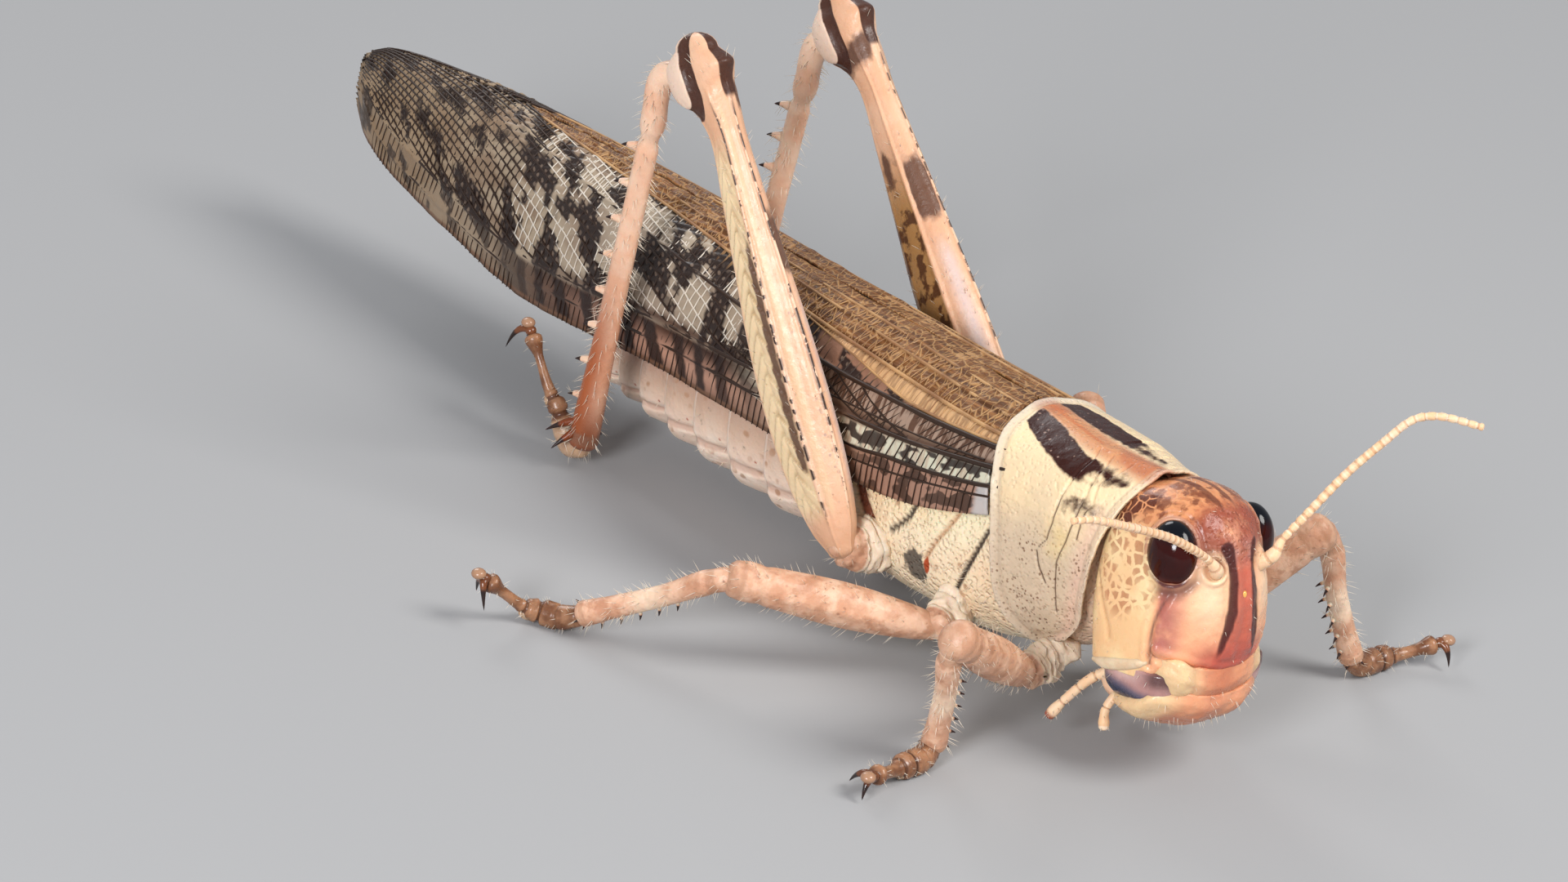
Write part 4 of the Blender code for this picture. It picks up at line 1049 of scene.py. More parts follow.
def make_head():
    grid = head_surface()
    out = outward(grid)
    x, y, z = np.moveaxis(grid, -1, 0)
    ax = np.abs(x)
    eye = np.linalg.norm((mirrored(grid) - np.array(EYE_PLACE)) / np.array(EYE_SIZE), axis=-1)
    stripe = line_gap(grid, FACE_STRIPE)
    half = course(STRIPE_HALF, z) + 0.14 * (x > 0) * step(-z, -0.6, 0.6)
    suture, frons, gena = (line_gap(grid, line) for line in (CHEEK_SUTURE, FRONS_EDGE, GENA_FOLD))
    front = step(-y, 3.4, 4.4)
    ridge_half = course(RIDGE_HALF, z)
    ridge = (fall(ax, ridge_half - 0.12, ridge_half + 0.16) * front * step(z, -4.2, -3.2)
             * fall(z, 1.6, 2.6))
    lift = 0.14 * ridge - 0.07 * hump(ax, 0, 0.42) * ridge * fall(z, 0.2, 1.2)
    lift += 0.05 * hump(eye, 1.06, 0.1) - 0.08 * hump(eye, 1.24, 0.16)
    lift -= 0.16 * hump(suture, 0, 0.2) + 0.13 * hump(frons, 0, 0.22) + 0.1 * hump(gena, 0, 0.26)
    lift += 0.06 * hump(suture, 0.34, 0.22) + 0.05 * hump(frons, 0.35, 0.25)
    socket = np.full_like(x, 9.0)
    for side, place in SOCKETS.items():
        mine = x < 0 if side == "right" else x >= 0
        socket = np.minimum(socket, np.where(mine, span(grid, place), 9.0))
    lift += 0.16 * hump(socket, 0.66, 0.24) - 0.2 * hump(socket, 0, 0.6)
    crease = hump(ax, 1.05, 0.22) * step(-z, -0.7, 0.1) * step(z, -2.6, -1.4) * front
    lift -= 0.07 * crease
    lift += 0.12 * (rough_field(grid, 0.7, 2) - 0.5) * step(-y, 2.8, 4.2)
    lift -= 0.12 * hump(span(grid, (0.0, -5.75, -0.62)), 0, 0.34)
    place = np.stack([ax, y, z], -1)
    grid = grid + out * lift[..., None]
    behind = step(y, -3.9, -3.2)
    above = step(z, 1.2, 2.4)
    top_line = hump(ax, 0.42, 0.36) * above * step(y, -5.0, -3.4)
    cream = np.exp(-(((ax - 1.8) / 0.85) ** 2) - (((z + 0.6) / 1.35) ** 2)) * step(-y, 3.6, 4.6)
    mauve = hump(ax, 3.45, 0.95) * step(-z, 0.1, 0.8) * fall(-z, 2.9, 3.8) * step(-y, 3.68, 3.95)
    net = behind * fall(-z, 1.7, 2.8) * fall(eye, 2.7, 3.5)
    net = np.maximum(net, above * step(y, -4.6, -3.6) * 0.9)
    spots = np.zeros_like(x)
    for middle, size in CROWN_SPOTS:
        spots = np.maximum(spots, step(-span(place, middle), -size, -size * 0.5))
    masks = {
        "stripe": step(half - stripe, -0.12, 0.08) * front * (1 - 0.6 * step(-z, 3.0, 3.7)),
        "ridge": fall(ax, ridge_half - 0.05, ridge_half + 0.25) * front * fall(z, 0.3, 1.4),
        "lowface": front * step(-z, 2.2, 3.6) * fall(ax, 1.5, 2.9),
        "peach": front * step(-z, 1.4, 2.6),
        "cream": cream,
        "mauve": mauve,
        "brow": step(-y, 3.5, 4.4) * step(z, 0.3, 1.0),
        "crown": above * fall(-y, 4.2, 5.0),
        "line": top_line,
        "net": net,
        "spots": spots,
        "rim": hump(eye, 1.07, 0.09) * step(z, 0.2, 1.4),
        "mottle": above * step(y, -4.6, -3.4),
        "underlid": (hump(eye, 1.22, 0.34) * step(-y, 3.2, 3.8) + hump(eye, 1.03, 0.1))
            * step(-z, -0.6, 0.2),
        "groove": np.maximum(hump(suture, 0, 0.11) * step(-z, 0.3, 0.8), hump(frons, 0, 0.09)),
        "fold": hump(gena, 0, 0.12),
        "socket": hump(socket, 0.66, 0.4),
        # A painted highlight on the upper front of the head.
        "shine": step(-y, 4.3, 4.9) * hump(z, 1.25, 0.8) * fall(ax, 0.5, 1.1),
        "gena": behind,
    }
    capsule = Shape().grid(grid, poles=(CROWN, (0, -2.6, -4.75)), masks=masks)
    paint = Finish("head_shell").base((0.84, 0.44, 0.24), (0.8, 0.38, 0.22), 0.4)
    paint.over((0.84, 0.54, 0.28), "gena", 0.95)
    paint.over((0.88, 0.68, 0.38), ("gena", paint.cloud(0.4, 0.6, 0.35)), 0.8)
    paint.over((0.86, 0.4, 0.22), "peach", 0.8)
    paint.over((0.62, 0.24, 0.1), "crown", 0.9)
    lines = paint.cells(1.9, "DISTANCE_TO_EDGE", wobble=0.75)
    full = paint.edge(lines, 0.045, 0.12)
    some = paint.cloud(0.36, 0.52, 0.42)
    small = paint.edge(lines, 0.09, 0.19)
    paint.over((0.42, 0.15, 0.065), (small, some, "net"), 0.68)
    smear = paint.maths("MULTIPLY", paint.cloud(0.48, 0.6, 1.5, 4), paint.mask("mottle"))
    paint.over((0.17, 0.045, 0.02), smear, 0.85)
    paint.over((0.1, 0.022, 0.01), (full, "spots"), 0.96)
    paint.over((0.27, 0.055, 0.034), ("brow", paint.cloud(0.15, 0.55, 0.7)), 0.92)
    paint.over((0.48, 0.095, 0.062), "ridge", 0.92)
    paint.over((0.48, 0.095, 0.065), "lowface", 0.85)
    paint.over((0.84, 0.58, 0.38), "cream", 0.95)
    paint.over((0.42, 0.13, 0.11), ("mauve", paint.cloud(0.1, 0.5, 0.8)), 0.92)
    paint.over((0.5, 0.26, 0.18), "rim", 0.8)
    paint.over((0.12, 0.04, 0.035), "underlid", 0.8)
    paint.layer("line", (0.14, 0.04, 0.02), 0.9, 1.5, strength=0.85)
    # Painted highlight: lighter pink on the upper front of the head, at the middle.
    paint.over((0.52, 0.28, 0.24), ("shine", paint.cloud(0.35, 0.6, 1.2)), 0.55)
    paint.over((0.84, 0.62, 0.4), "socket", 0.5)
    paint.over((0.55, 0.28, 0.12), "fold", 0.6)
    paint.layer("stripe", (0.055, 0.01, 0.01), 0.35, 1.1, soft=0.45, strength=0.94)
    paint.over((0.13, 0.045, 0.03), "groove", 0.85)
    pits = paint.spots(0.05, 0.45, 5.5, "SMOOTH_F1")
    paint.bump((pits, "brow"), 0.05)
    paint.bump(paint.noise(1.4, 4), 0.05)
    paint.bump(paint.noise(9, 3), 0.012)
    finish = paint.done(0.32, 0.1, coat=0.15, under=0.22, glow=(1.0, 0.35, 0.2))
    capsule.finish("head_capsule", finish, ("head",), "head", "face")


def make_eyes():
    glass = Finish("eye_lens").base((0.016, 0.0008, 0.0006), (0.038, 0.003, 0.002), 0.3)
    glass.over((0.002, 0.003, 0.006), "top")
    glass.over((0.17, 0.03, 0.014), "belt", 0.8)
    facets = glass.spots(0.1, 0.6, 26, "SMOOTH_F1")
    glass.bump(facets, 0.0008)
    lens = glass.done(0.05, 0.01, gloss=0.26, coat=0.1, under=0.0)
    amber = Finish("ocellus_lens").base((0.8, 0.42, 0.1), (0.9, 0.62, 0.3), 2.0)
    amber.bump(amber.noise(8), 0.01)
    bead = amber.done(0.12, 0.03, coat=0.6)
    angle = circle(72)[None]
    dip = np.linspace(0.02, 1, 54)[:, None] * np.pi / 2
    for side, word in SIDES:
        lean = np.concatenate([dip, np.pi - dip[::-1][1:]])
        grid = np.stack([np.cos(lean) + 0 * angle, np.sin(lean) * np.cos(angle),
                         np.sin(lean) * np.sin(angle)], -1)
        masks = {"top": step(grid[..., 2], 0.35, 0.75), "belt": step(-grid[..., 2], 0.45, 0.95)}
        size = np.array(EYE_SIZE) * (side, 1, 1)
        points = grid * size + np.array((side * EYE_PLACE[0], *EYE_PLACE[1:]))
        tips = [(side * EYE_PLACE[0] + side * way * EYE_SIZE[0], *EYE_PLACE[1:]) for way in (1, -1)]
        ball = Shape().grid(points, poles=tips, masks=masks)
        ball.finish("eye_lens_" + word, lens, ("eye_" + word,), "head", "eye")
    beads = Shape()
    for place in ((0.0, -5.8, -0.62), (-1.02, -5.05, 0.95), (1.02, -5.05, 0.95)):
        lean = np.linspace(0.1, np.pi - 0.1, 12)[:, None]
        spin = circle(20)[None]
        ball = np.stack([np.sin(lean) * np.cos(spin), -np.cos(lean) + 0 * spin,
                         np.sin(lean) * np.sin(spin)], -1)
        ball = ball * (0.15, 0.1, 0.18) + np.array(place)
        beads.grid(ball, poles=(ball[0].mean(0) - (0, 0.002, 0), ball[-1].mean(0)))
    beads.finish("ocelli", bead, (), "head", "eye")


def mouth_grid(rows, side=1, sides=64, stops=48, power=2.8, close=0.35):
    """A mouthpart, rounded at both ends.

    Its level rows are height, middle across, middle along, half width, half length.
    """
    table = [(-row[0], side * row[1], *row[2:]) for row in rows]
    z = np.linspace(table[0][0], table[-1][0], stops)
    x, y, wide, long = np.moveaxis(along(table, z), -1, 0)
    a, b = bulge(circle(sides), power)
    grid = np.stack([x[:, None] + wide[:, None] * a, y[:, None] + long[:, None] * b,
                     -z[:, None] + 0 * a], -1)
    ends = []
    for k, way in ((0, 1), (-1, -1)):
        rings = []
        middle = grid[k].mean(0)
        for t in np.linspace(0.15, 1, 6)[:-1] * np.pi / 2:
            row = middle + (grid[k] - middle) * math.cos(t)
            row[:, 2] += way * close * math.sin(t)
            rings.append(row)
        ends.append((rings[::-1] if k == 0 else rings, middle + (0, 0, way * close)))
    return (np.concatenate([np.array(ends[0][0]), grid, np.array(ends[1][0])]),
            (ends[0][1], ends[1][1]))


LIP = (
    (-5.52, -0.16, -3.7, 3.0, 1.82), (-5.98, -0.2, -3.34, 3.42, 2.22),
    (-6.4, -0.2, -3.12, 3.5, 2.28), (-6.8, -0.16, -3.0, 3.18, 2.05),
    (-7.12, -0.1, -3.0, 2.45, 1.55), (-7.3, -0.05, -3.0, 1.6, 1.0),
)
NOSE = (
    (-4.2, -0.26, -4.12, 3.02, 1.46), (-4.75, -0.26, -4.12, 3.08, 1.54),
    (-5.25, -0.24, -4.02, 3.02, 1.52), (-5.58, -0.22, -3.94, 2.85, 1.46),
)
MOUTH_CURVE = 0.6


def make_mouth():
    face = Finish("mouth_plate").base((0.68, 0.31, 0.17), (0.62, 0.25, 0.14), 0.5)
    face.over((0.76, 0.52, 0.29), "pale")
    face.over((0.55, 0.185, 0.095), ("blush", face.cloud(0.2, 0.6, 0.5)), 0.85)
    face.over((0.42, 0.16, 0.09), "crease", 0.8)
    face.bump(face.noise(1.6, 4), 0.06)
    face.bump(face.noise(11, 3), 0.012)
    plate = face.done(0.33, 0.1, coat=0.15, under=0.28)
    for name, rows, nodes in (("clypeus_plate", NOSE, ("clypeus",)),
                              ("labrum_plate", LIP, ("labrum",))):
        grid, poles = mouth_grid(rows, power=2.5, sides=120, stops=60,
                                 close=0.16 if name[0] == "c" else 0.1)
        ax, y, z = np.abs(grid[..., 0]), grid[..., 1], grid[..., 2]
        out = outward(grid)
        if name[0] == "c":
            lump = (0.16 * hump(ax, 2.75, 0.55) - 0.1 * hump(ax, 2.05, 0.3)
                    + 0.06 * hump(z, -5.0, 0.5))
            crease = 0.5 * hump(ax, 2.08, 0.1) * step(-z, 4.9, 5.3)
            masks = {"pale": step(ax, 1.3, 2.6), "blush": fall(ax, 0.4, 2.0),
                     "crease": crease * 0.6}
        else:
            notch = hump(ax, 0, 0.28) * step(-z, 6.6, 7.1)
            lump = -0.14 * notch + 0.05 * hump(ax, 1.3, 0.9)
            masks = {"pale": step(ax, 2.2, 3.3), "blush": step(-z, 5.8, 6.6) * fall(ax, 2.2, 3.3),
                     "crease": notch * 0.5}
        lump = lump + 0.14 * (rough_field(grid, 0.8, 4) - 0.5)
        curve = MOUTH_CURVE * (ax / 3.3) ** 2.2 * step(-y, 3.1, 4.5)
        grid = grid + out * lump[..., None]
        grid[..., 2] += curve
        Shape().grid(grid, poles=poles, masks=masks).finish(name, plate, nodes, "head", "shell")
    jaw = Finish("jaw_horn").base((0.52, 0.31, 0.28), (0.44, 0.23, 0.21), 0.6)
    # Painted highlight: a lighter pink spot high on each jaw's side.
    jaw.over((0.66, 0.48, 0.45), "pale", 0.7)
    jaw.over((0.1, 0.095, 0.15), "blue", 0.9)
    jaw.over((0.012, 0.02, 0.06), "edge", 0.97)
    jaw.over((0.075, 0.03, 0.03), "dark", 0.9)
    jaw.bump(jaw.noise(2.4, 4), 0.05)
    horn = jaw.done(0.24, 0.08, coat=0.4, under=0.15)
    rows = ((-4.45, 2.15, -2.75, 1.62, 2.15), (-5.0, 2.15, -2.75, 1.64, 2.15),
            (-5.7, 2.05, -2.75, 1.58, 2.05),
            (-6.2, 1.9, -2.8, 1.35, 1.8), (-6.6, 1.7, -2.85, 0.9, 1.3))
    for side, word in SIDES:
        grid, poles = mouth_grid(rows, side, sides=72, stops=40, power=2.8, close=0.22)
        z, y = grid[..., 2], grid[..., 1]
        lump = -0.08 * hump(y, -3.9, 0.3) + 0.06 * (rough_field(grid, 0.8, 6) - 0.5)
        low = -z + 0.16 * (y + 3)
        masks = {"edge": step(low, 5.4, 5.9), "blue": step(low, 5.1, 5.6),
                 # The pale spot high on the jaw is a painted highlight.
                 "pale": hump(y, -2.6, 1.3) * hump(z, -4.8, 0.6),
                 "dark": step(-y, 3.3, 4.3) * step(z, -5.3, -4.7)}
        part = Shape().grid(grid + outward(grid) * lump[..., None], poles=poles, masks=masks)
        part.finish("mandible_horn_" + word, horn, ("mandible_" + word,), "head", "jaw")
    bar = Finish("cheek_bar").base((0.72, 0.58, 0.4), (0.66, 0.48, 0.31), 1.2)
    bar.bump(bar.noise(5, 3), 0.03)
    bars = Shape()
    for side in (-1, 1):
        line = [(side * 3.6, -0.55, -4.8, 0.12, 0.12), (side * 3.84, -1.4, -4.66, 0.27, 0.22),
                (side * 3.84, -2.4, -4.4, 0.29, 0.24), (side * 3.7, -3.3, -4.08, 0.23, 0.2),
                (side * 3.58, -3.62, -3.95, 0.12, 0.1)]
        grid, poles, _, _ = tube(line, 20, 40, lie=(1, 0, 0))
        bars.grid(grid, poles=poles)
    bars.finish("cheek_bars", bar.done(0.36, under=0.2), (), "head", "face")
    lower = Finish("lower_lip").base((0.74, 0.48, 0.32), (0.64, 0.38, 0.24), 0.6)
    lower.layer("crease", (0.36, 0.18, 0.1), 0.3, 1.4)
    lower.bump(lower.noise(2.0, 4), 0.08)
    flesh = lower.done(0.42, under=0.25)
    rows = ((-4.75, 0, -0.6, 2.75, 0.75), (-5.8, 0, -0.85, 3.0, 0.9), (-6.6, 0, -1.25, 2.75, 0.95),
            (-7.05, 0, -1.6, 1.85, 0.75))
    grid, poles = mouth_grid(rows, sides=96, stops=50, close=0.2)
    ax = np.abs(grid[..., 0])
    crease = np.maximum(hump(ax, 0, 0.16), hump(grid[..., 2], -5.7, 0.16))
    grid = grid - outward(grid) * (0.12 * crease)[..., None]
    part = Shape().grid(grid, poles=poles, masks={"crease": crease * 0.8})
    part.finish("labium_plate", flesh, ("labium",), "head", "belly")


def joints_of(shares, ends, deep=0.03):
    """A waist at each joint of a segmented limb, and a dark mask there."""
    waist = np.zeros_like(np.asarray(shares, float))
    for end in ends:
        waist = np.maximum(waist, hump(shares, end, 0.01 if len(ends) > 8 else 0.02))
    return -deep * waist, waist


FEELER_SLIM = 0.68
# Where the feeler's even rings start, as a share of its length, and how many a whole length holds.
FIRST_RING = 0.14
RING_RATE = 28.4
PALP_SLIM = 0.84


def make_feelers():
    skin = Finish("feeler_skin").base((0.82, 0.52, 0.3), (0.84, 0.6, 0.4), 0.5)
    skin.layer("joint", (0.52, 0.28, 0.15), 0.3, 3.0, strength=0.6)
    skin.layer("pale", (0.9, 0.72, 0.55), 0.2, 2.0, strength=0.6)
    skin.over((0.26, 0.035, 0.015), "bead", 0.9)
    skin.bump(skin.noise(9, 3), 0.02)
    finish = skin.done(0.38, under=0.3)
    ends = np.concatenate([[0.055, 0.1], np.linspace(FIRST_RING, 0.985, 24)])
    for side in ("right", "left"):
        course_line = [(*p[:3], p[3] * (0.82 if k < 2 else FEELER_SLIM))
                       for k, p in enumerate(FEELERS[side])]
        stops = np.unique(np.concatenate([np.linspace(0, 1, 150)]
                                         + [e + np.array((-0.006, -0.003, 0, 0.003, 0.006))
                                            for e in ends]))
        stops = np.clip(stops, 0, 1)

        def waist(share, angle):
            fat = (0.02 * np.sin(np.pi * np.clip((share - FIRST_RING) * RING_RATE % 1, 0, 1))
                   * (share > FIRST_RING))
            return joints_of(share, ends, 0.022)[0] + fat

        grid, poles, share, _ = tube(course_line, 22, np.unique(stops), (0, 1, 0), waist)
        masks = {"joint": joints_of(share, ends)[1],
                 "pale": hump((share - FIRST_RING) * RING_RATE % 1, 0.85, 0.2)
                     * (share > FIRST_RING)}
        part = Shape().grid(grid, poles=poles, masks=masks)
        part.finish("feeler_" + side, finish, ("antenna_" + side,), "ground", "limb")
    for name, points in PALPS.items():
        cuts = (0.22, 0.48, 0.76) if name[0] == "m" else (0.3, 0.62)
        points = [(*p[:3], p[3] * PALP_SLIM) for p in points]

        def waist(share, angle, cuts=cuts):
            return joints_of(share, cuts, 0.09)[0] + 0.04 * hump(share, 0.9, 0.12)

        grid, poles, share, _ = tube(points, 24, 90, (0, 1, 0), waist)
        end = "bead" if name[0] == "m" else "pale"
        masks = {"joint": joints_of(share, cuts)[1], end: step(share, 0.93, 1.0)}
        part = Shape().grid(grid, poles=poles, masks=masks)
        part.finish(name + "_skin", finish, (name,), "ground", "limb")


# ---- Legs ----

def paints_for_legs():
    skin = Finish("leg_skin").base((0.6, 0.32, 0.2), (0.76, 0.49, 0.34), 0.9)
    skin.over((0.42, 0.185, 0.1), skin.cloud(0.5, 0.66, 1.3, 5), 0.6)
    speck = skin.spots(0.22, 0.12, 2.2, wobble=0.5)
    skin.over((0.3, 0.13, 0.075), (speck, skin.cloud(0.42, 0.6, 0.7)), 0.55)
    skin.layer("joint", (0.42, 0.22, 0.13), 0.4, 2.0, strength=0.6)
    skin.layer("base", (0.9, 0.76, 0.58), 0.1, strength=0.8)
    skin.layer("tip", (0.025, 0.012, 0.01), 0.1)
    skin.layer("brown", (0.5, 0.27, 0.16), 0.7, 1.3, strength=0.5)
    skin.bump(skin.noise(3.0, 4), 0.07)
    skin.bump(skin.noise(14, 3), 0.01)
    rust = Finish("hind_shin").base((0.8, 0.47, 0.31), (0.84, 0.58, 0.42), 0.5)
    rust.over((0.36, 0.08, 0.016), "rust")
    rust.over((0.17, 0.035, 0.008), "deep", 0.9)
    rust.layer("joint", (0.22, 0.1, 0.06), 0.4, 2.0, strength=0.8)
    rust.layer("base", (0.9, 0.78, 0.62), 0.1, strength=0.85)
    rust.layer("tip", (0.025, 0.012, 0.01), 0.1)
    rust.bump(rust.noise(3.0, 4), 0.04)
    rust.bump(rust.noise(14, 3), 0.01)
    thigh = Finish("hind_thigh").base((0.7, 0.39, 0.235), (0.75, 0.46, 0.3), 0.35)
    thigh.over((0.8, 0.62, 0.38), "weave", 0.9)
    # Painted shade: darker brown in the grooves between the herringbone's ridges.
    thigh.over((0.34, 0.19, 0.07), ("furrow", thigh.cloud(0.25, 0.6, 0.5)), 0.7)
    thigh.layer("cream", (0.72, 0.48, 0.29), 0.3, 1.0, strength=0.8)
    pits = thigh.spots(0.36, 0.18, 3.4, wobble=0.5)
    thigh.over((0.4, 0.26, 0.2), (pits, "pitted"), 0.8)
    thigh.over((0.66, 0.52, 0.48), "pale", 0.85)
    thigh.over((0.34, 0.17, 0.05), "inner", 0.92)
    thigh.over((0.07, 0.022, 0.009), ("inner", thigh.cloud(0.47, 0.56, 1.1, 5)), 0.9)
    thigh.layer("brown", (0.1, 0.042, 0.026), 0.95, 1.3, strength=0.92)
    thigh.layer("knee", (0.05, 0.014, 0.008), 0.25, 1.8, strength=0.97)
    thigh.layer("lobe", (0.86, 0.64, 0.5), 0.1, 1.5, strength=0.95)
    thigh.layer("ridge", (0.8, 0.58, 0.42), 0.1, strength=0.5)
    dash = thigh.maths("MULTIPLY", thigh.cloud(0.47, 0.53, 1.9, 3), thigh.mask("dash"))
    thigh.over((0.03, 0.015, 0.012), dash, 0.95)
    thigh.bump(thigh.noise(2.4, 4), 0.05)
    thigh.bump(thigh.noise(12, 3), 0.01)
    foot = Finish("foot_skin").base((0.16, 0.065, 0.03), (0.34, 0.17, 0.09), 1.1)
    foot.layer("joint", (0.09, 0.03, 0.014), 0.3, 2.5, strength=0.8)
    foot.layer("pad", (0.52, 0.34, 0.22), 0.2, 1.5, strength=0.9)
    foot.bump(foot.noise(5, 3), 0.03)
    claw = Finish("claw_horn").base((0.17, 0.055, 0.02), (0.12, 0.04, 0.018), 1.0)
    claw.layer("tip", (0.02, 0.01, 0.008), 0.1)
    claw.layer("pad", (0.36, 0.2, 0.12), 0.1)
    claw.bump(claw.noise(7, 2), 0.015)
    return {
        "skin": skin.done(0.4, 0.1, coat=0.06, under=0.3),
        "rust": rust.done(0.34, 0.1, coat=0.1, under=0.25),
        "thigh": thigh.done(0.37, 0.12, coat=0.08, under=0.25),
        "foot": foot.done(0.3, 0.08, coat=0.2, under=0.35, glow=(1.0, 0.5, 0.2)),
        "claw": claw.done(0.22, 0.06, coat=0.3, under=0.1),
    }


def horn_masks():
    return {"tip": lambda s: step(s, 0.42, 0.62), "base": lambda s: 1 - step(s, 0.3, 0.5)}


def spines_on(shape, points, count, first, last, reach, hinge, radius=0.13, masks=None):
    """Pairs of spines down a tibia, one on each side of its edge."""
    rows = by_length(points)
    for share in np.linspace(first, last, count):
        middle = along(rows, share)[:3]
        ahead = unit(along(rows, share + 0.02)[:3] - along(rows, share - 0.02)[:3])
        for way in (1, -1):
            tip = middle + reach + way * hinge
            root = middle + (tip - middle) * 0.36 - ahead * 0.1
            thorn(shape, root, tip + ahead * 0.12, radius, ahead * -0.07, sides=12, rings=9,
                  masks=masks or horn_masks())


def make_coxa(name, base, hip, thigh, paints, lie):
    """The hip: a stout first joint, and the small ring that carries the femur."""
    def folds(share, angle):
        rings = (hump(share, 0.3 + 0.05 * np.sin(angle), 0.05)
                 + hump(share, 0.55 + 0.06 * np.cos(angle), 0.05) + hump(share, 0.78, 0.06))
        return 0.1 * np.sin(angle * 3 + 1.0) * np.sin(np.pi * share) - 0.15 * rings

    grid, poles, share, _ = tube(base, 40, 60, lie, folds)
    grid = grid + outward(grid) * (0.5 * (rough_field(grid, 0.8, 8) - 0.5))[..., None]
    shape = Shape().grid(grid, poles=poles, masks={
        "joint": 0.5 * np.maximum(hump(share, 0.55, 0.05), hump(share, 0.78, 0.05)),
        "base": 0.95 * fall(share, 0.8, 0.95),
    })
    size = min(base[-1][3], 1.0)
    across = np.cross(thigh, (0.3, 0.5, 0.8))
    spin = np.stack([unit(across), unit(np.cross(thigh, across)), thigh], 1)
    shape.ball(np.array(hip) + thigh * 0.1, (size * 0.76, size * 0.76, 0.58), spin, sides=32,
               rings=18)
    return shape.finish("hip_" + name, paints["skin"], ("coxa_" + name,), "ground", "limb")


def make_foot_skin(name, leg, lie, paints):
    """A foot of three joints with its pads, a pair of claws and the pad between them."""
    cuts = (0.4, 0.56) if "hind" not in name else (0.38, 0.52)
    points = leg["foot"]

    def swell(share, angle):
        waist = sum(hump(share, cut, 0.045) for cut in cuts)
        slim = 0.14 * step(share, cuts[1], cuts[1] + 0.06) * fall(share, 0.86, 1.0)
        return -0.16 * waist - slim - 0.05 * hump(share, 0.2, 0.035)

    grid, poles, share, _ = tube(points, 32, 110, lie, swell)
    grid[..., 2] = np.maximum(grid[..., 2], FLOOR_CLEARANCE)
    joint = sum(hump(share, cut, 0.035) for cut in cuts)
    flesh = 0.75 * fall(share, cuts[0] - 0.06, cuts[0]) if "hind" in name else 0 * share
    shape = Shape().grid(grid, poles=poles, masks={"joint": joint, "pad": flesh})
    rows = by_length(points)
    toe, last = np.array(points[-1][:3]), np.array(points[-2][:3])
    for place, size in ((0.08, 0.3), (0.21, 0.34), (0.34, 0.36), (0.5, 0.38)):
        x, y, z, deep = along(rows, place)[:4]
        ahead = unit(along(rows, place + 0.03)[:3] - along(rows, place - 0.03)[:3])
        across = unit(np.cross(ahead, (0, 0, 1.0)))
        below = np.cross(across, ahead)
        below = -below if below[2] > 0 else below
        middle = np.array((x, y, z)) + below * deep * 0.5
        middle[2] = max(middle[2], size * 0.55)
        spin = np.stack([ahead, across, below], 1)
        shape.ball(middle, (size * 1.15, size * 0.95, min(size * 0.8, middle[2])), spin,
                   masks={"pad": 1.0})
    shape.finish("foot_" + name, paints["foot"], ("tarsus_" + name,), "ground", "foot")
    ahead = unit(toe - last)
    knuckle = toe + ahead * 0.45
    hooks = Shape()
    for tip in leg["claws"]:
        tip = np.array(tip, float)
        away = tip - knuckle
        curl = np.array((0, 0, 0.3)) + 0.12 * ahead
        root = knuckle + 0.05 * unit(away)
        thorn(hooks, root, tip, 0.25, curl * np.linalg.norm(away) * 0.62, sides=16, rings=18,
              masks={"tip": lambda s: step(s, 0.35, 0.75)})
    hooks.ball(knuckle, (0.3, 0.3, 0.26), masks={"tip": 0.0}, rings=10)
    pad = knuckle + ahead * 0.42
    pad[2] = max(pad[2], 0.32)
    hooks.ball(pad, (0.36, 0.36, 0.26), masks={"pad": 1.0})
    for points_list in hooks.points:
        points_list[:, 2] = np.maximum(points_list[:, 2], FLOOR_CLEARANCE)
    hooks.finish("hooks_" + name, paints["claw"], ("claws_" + name,), "ground", "claw")


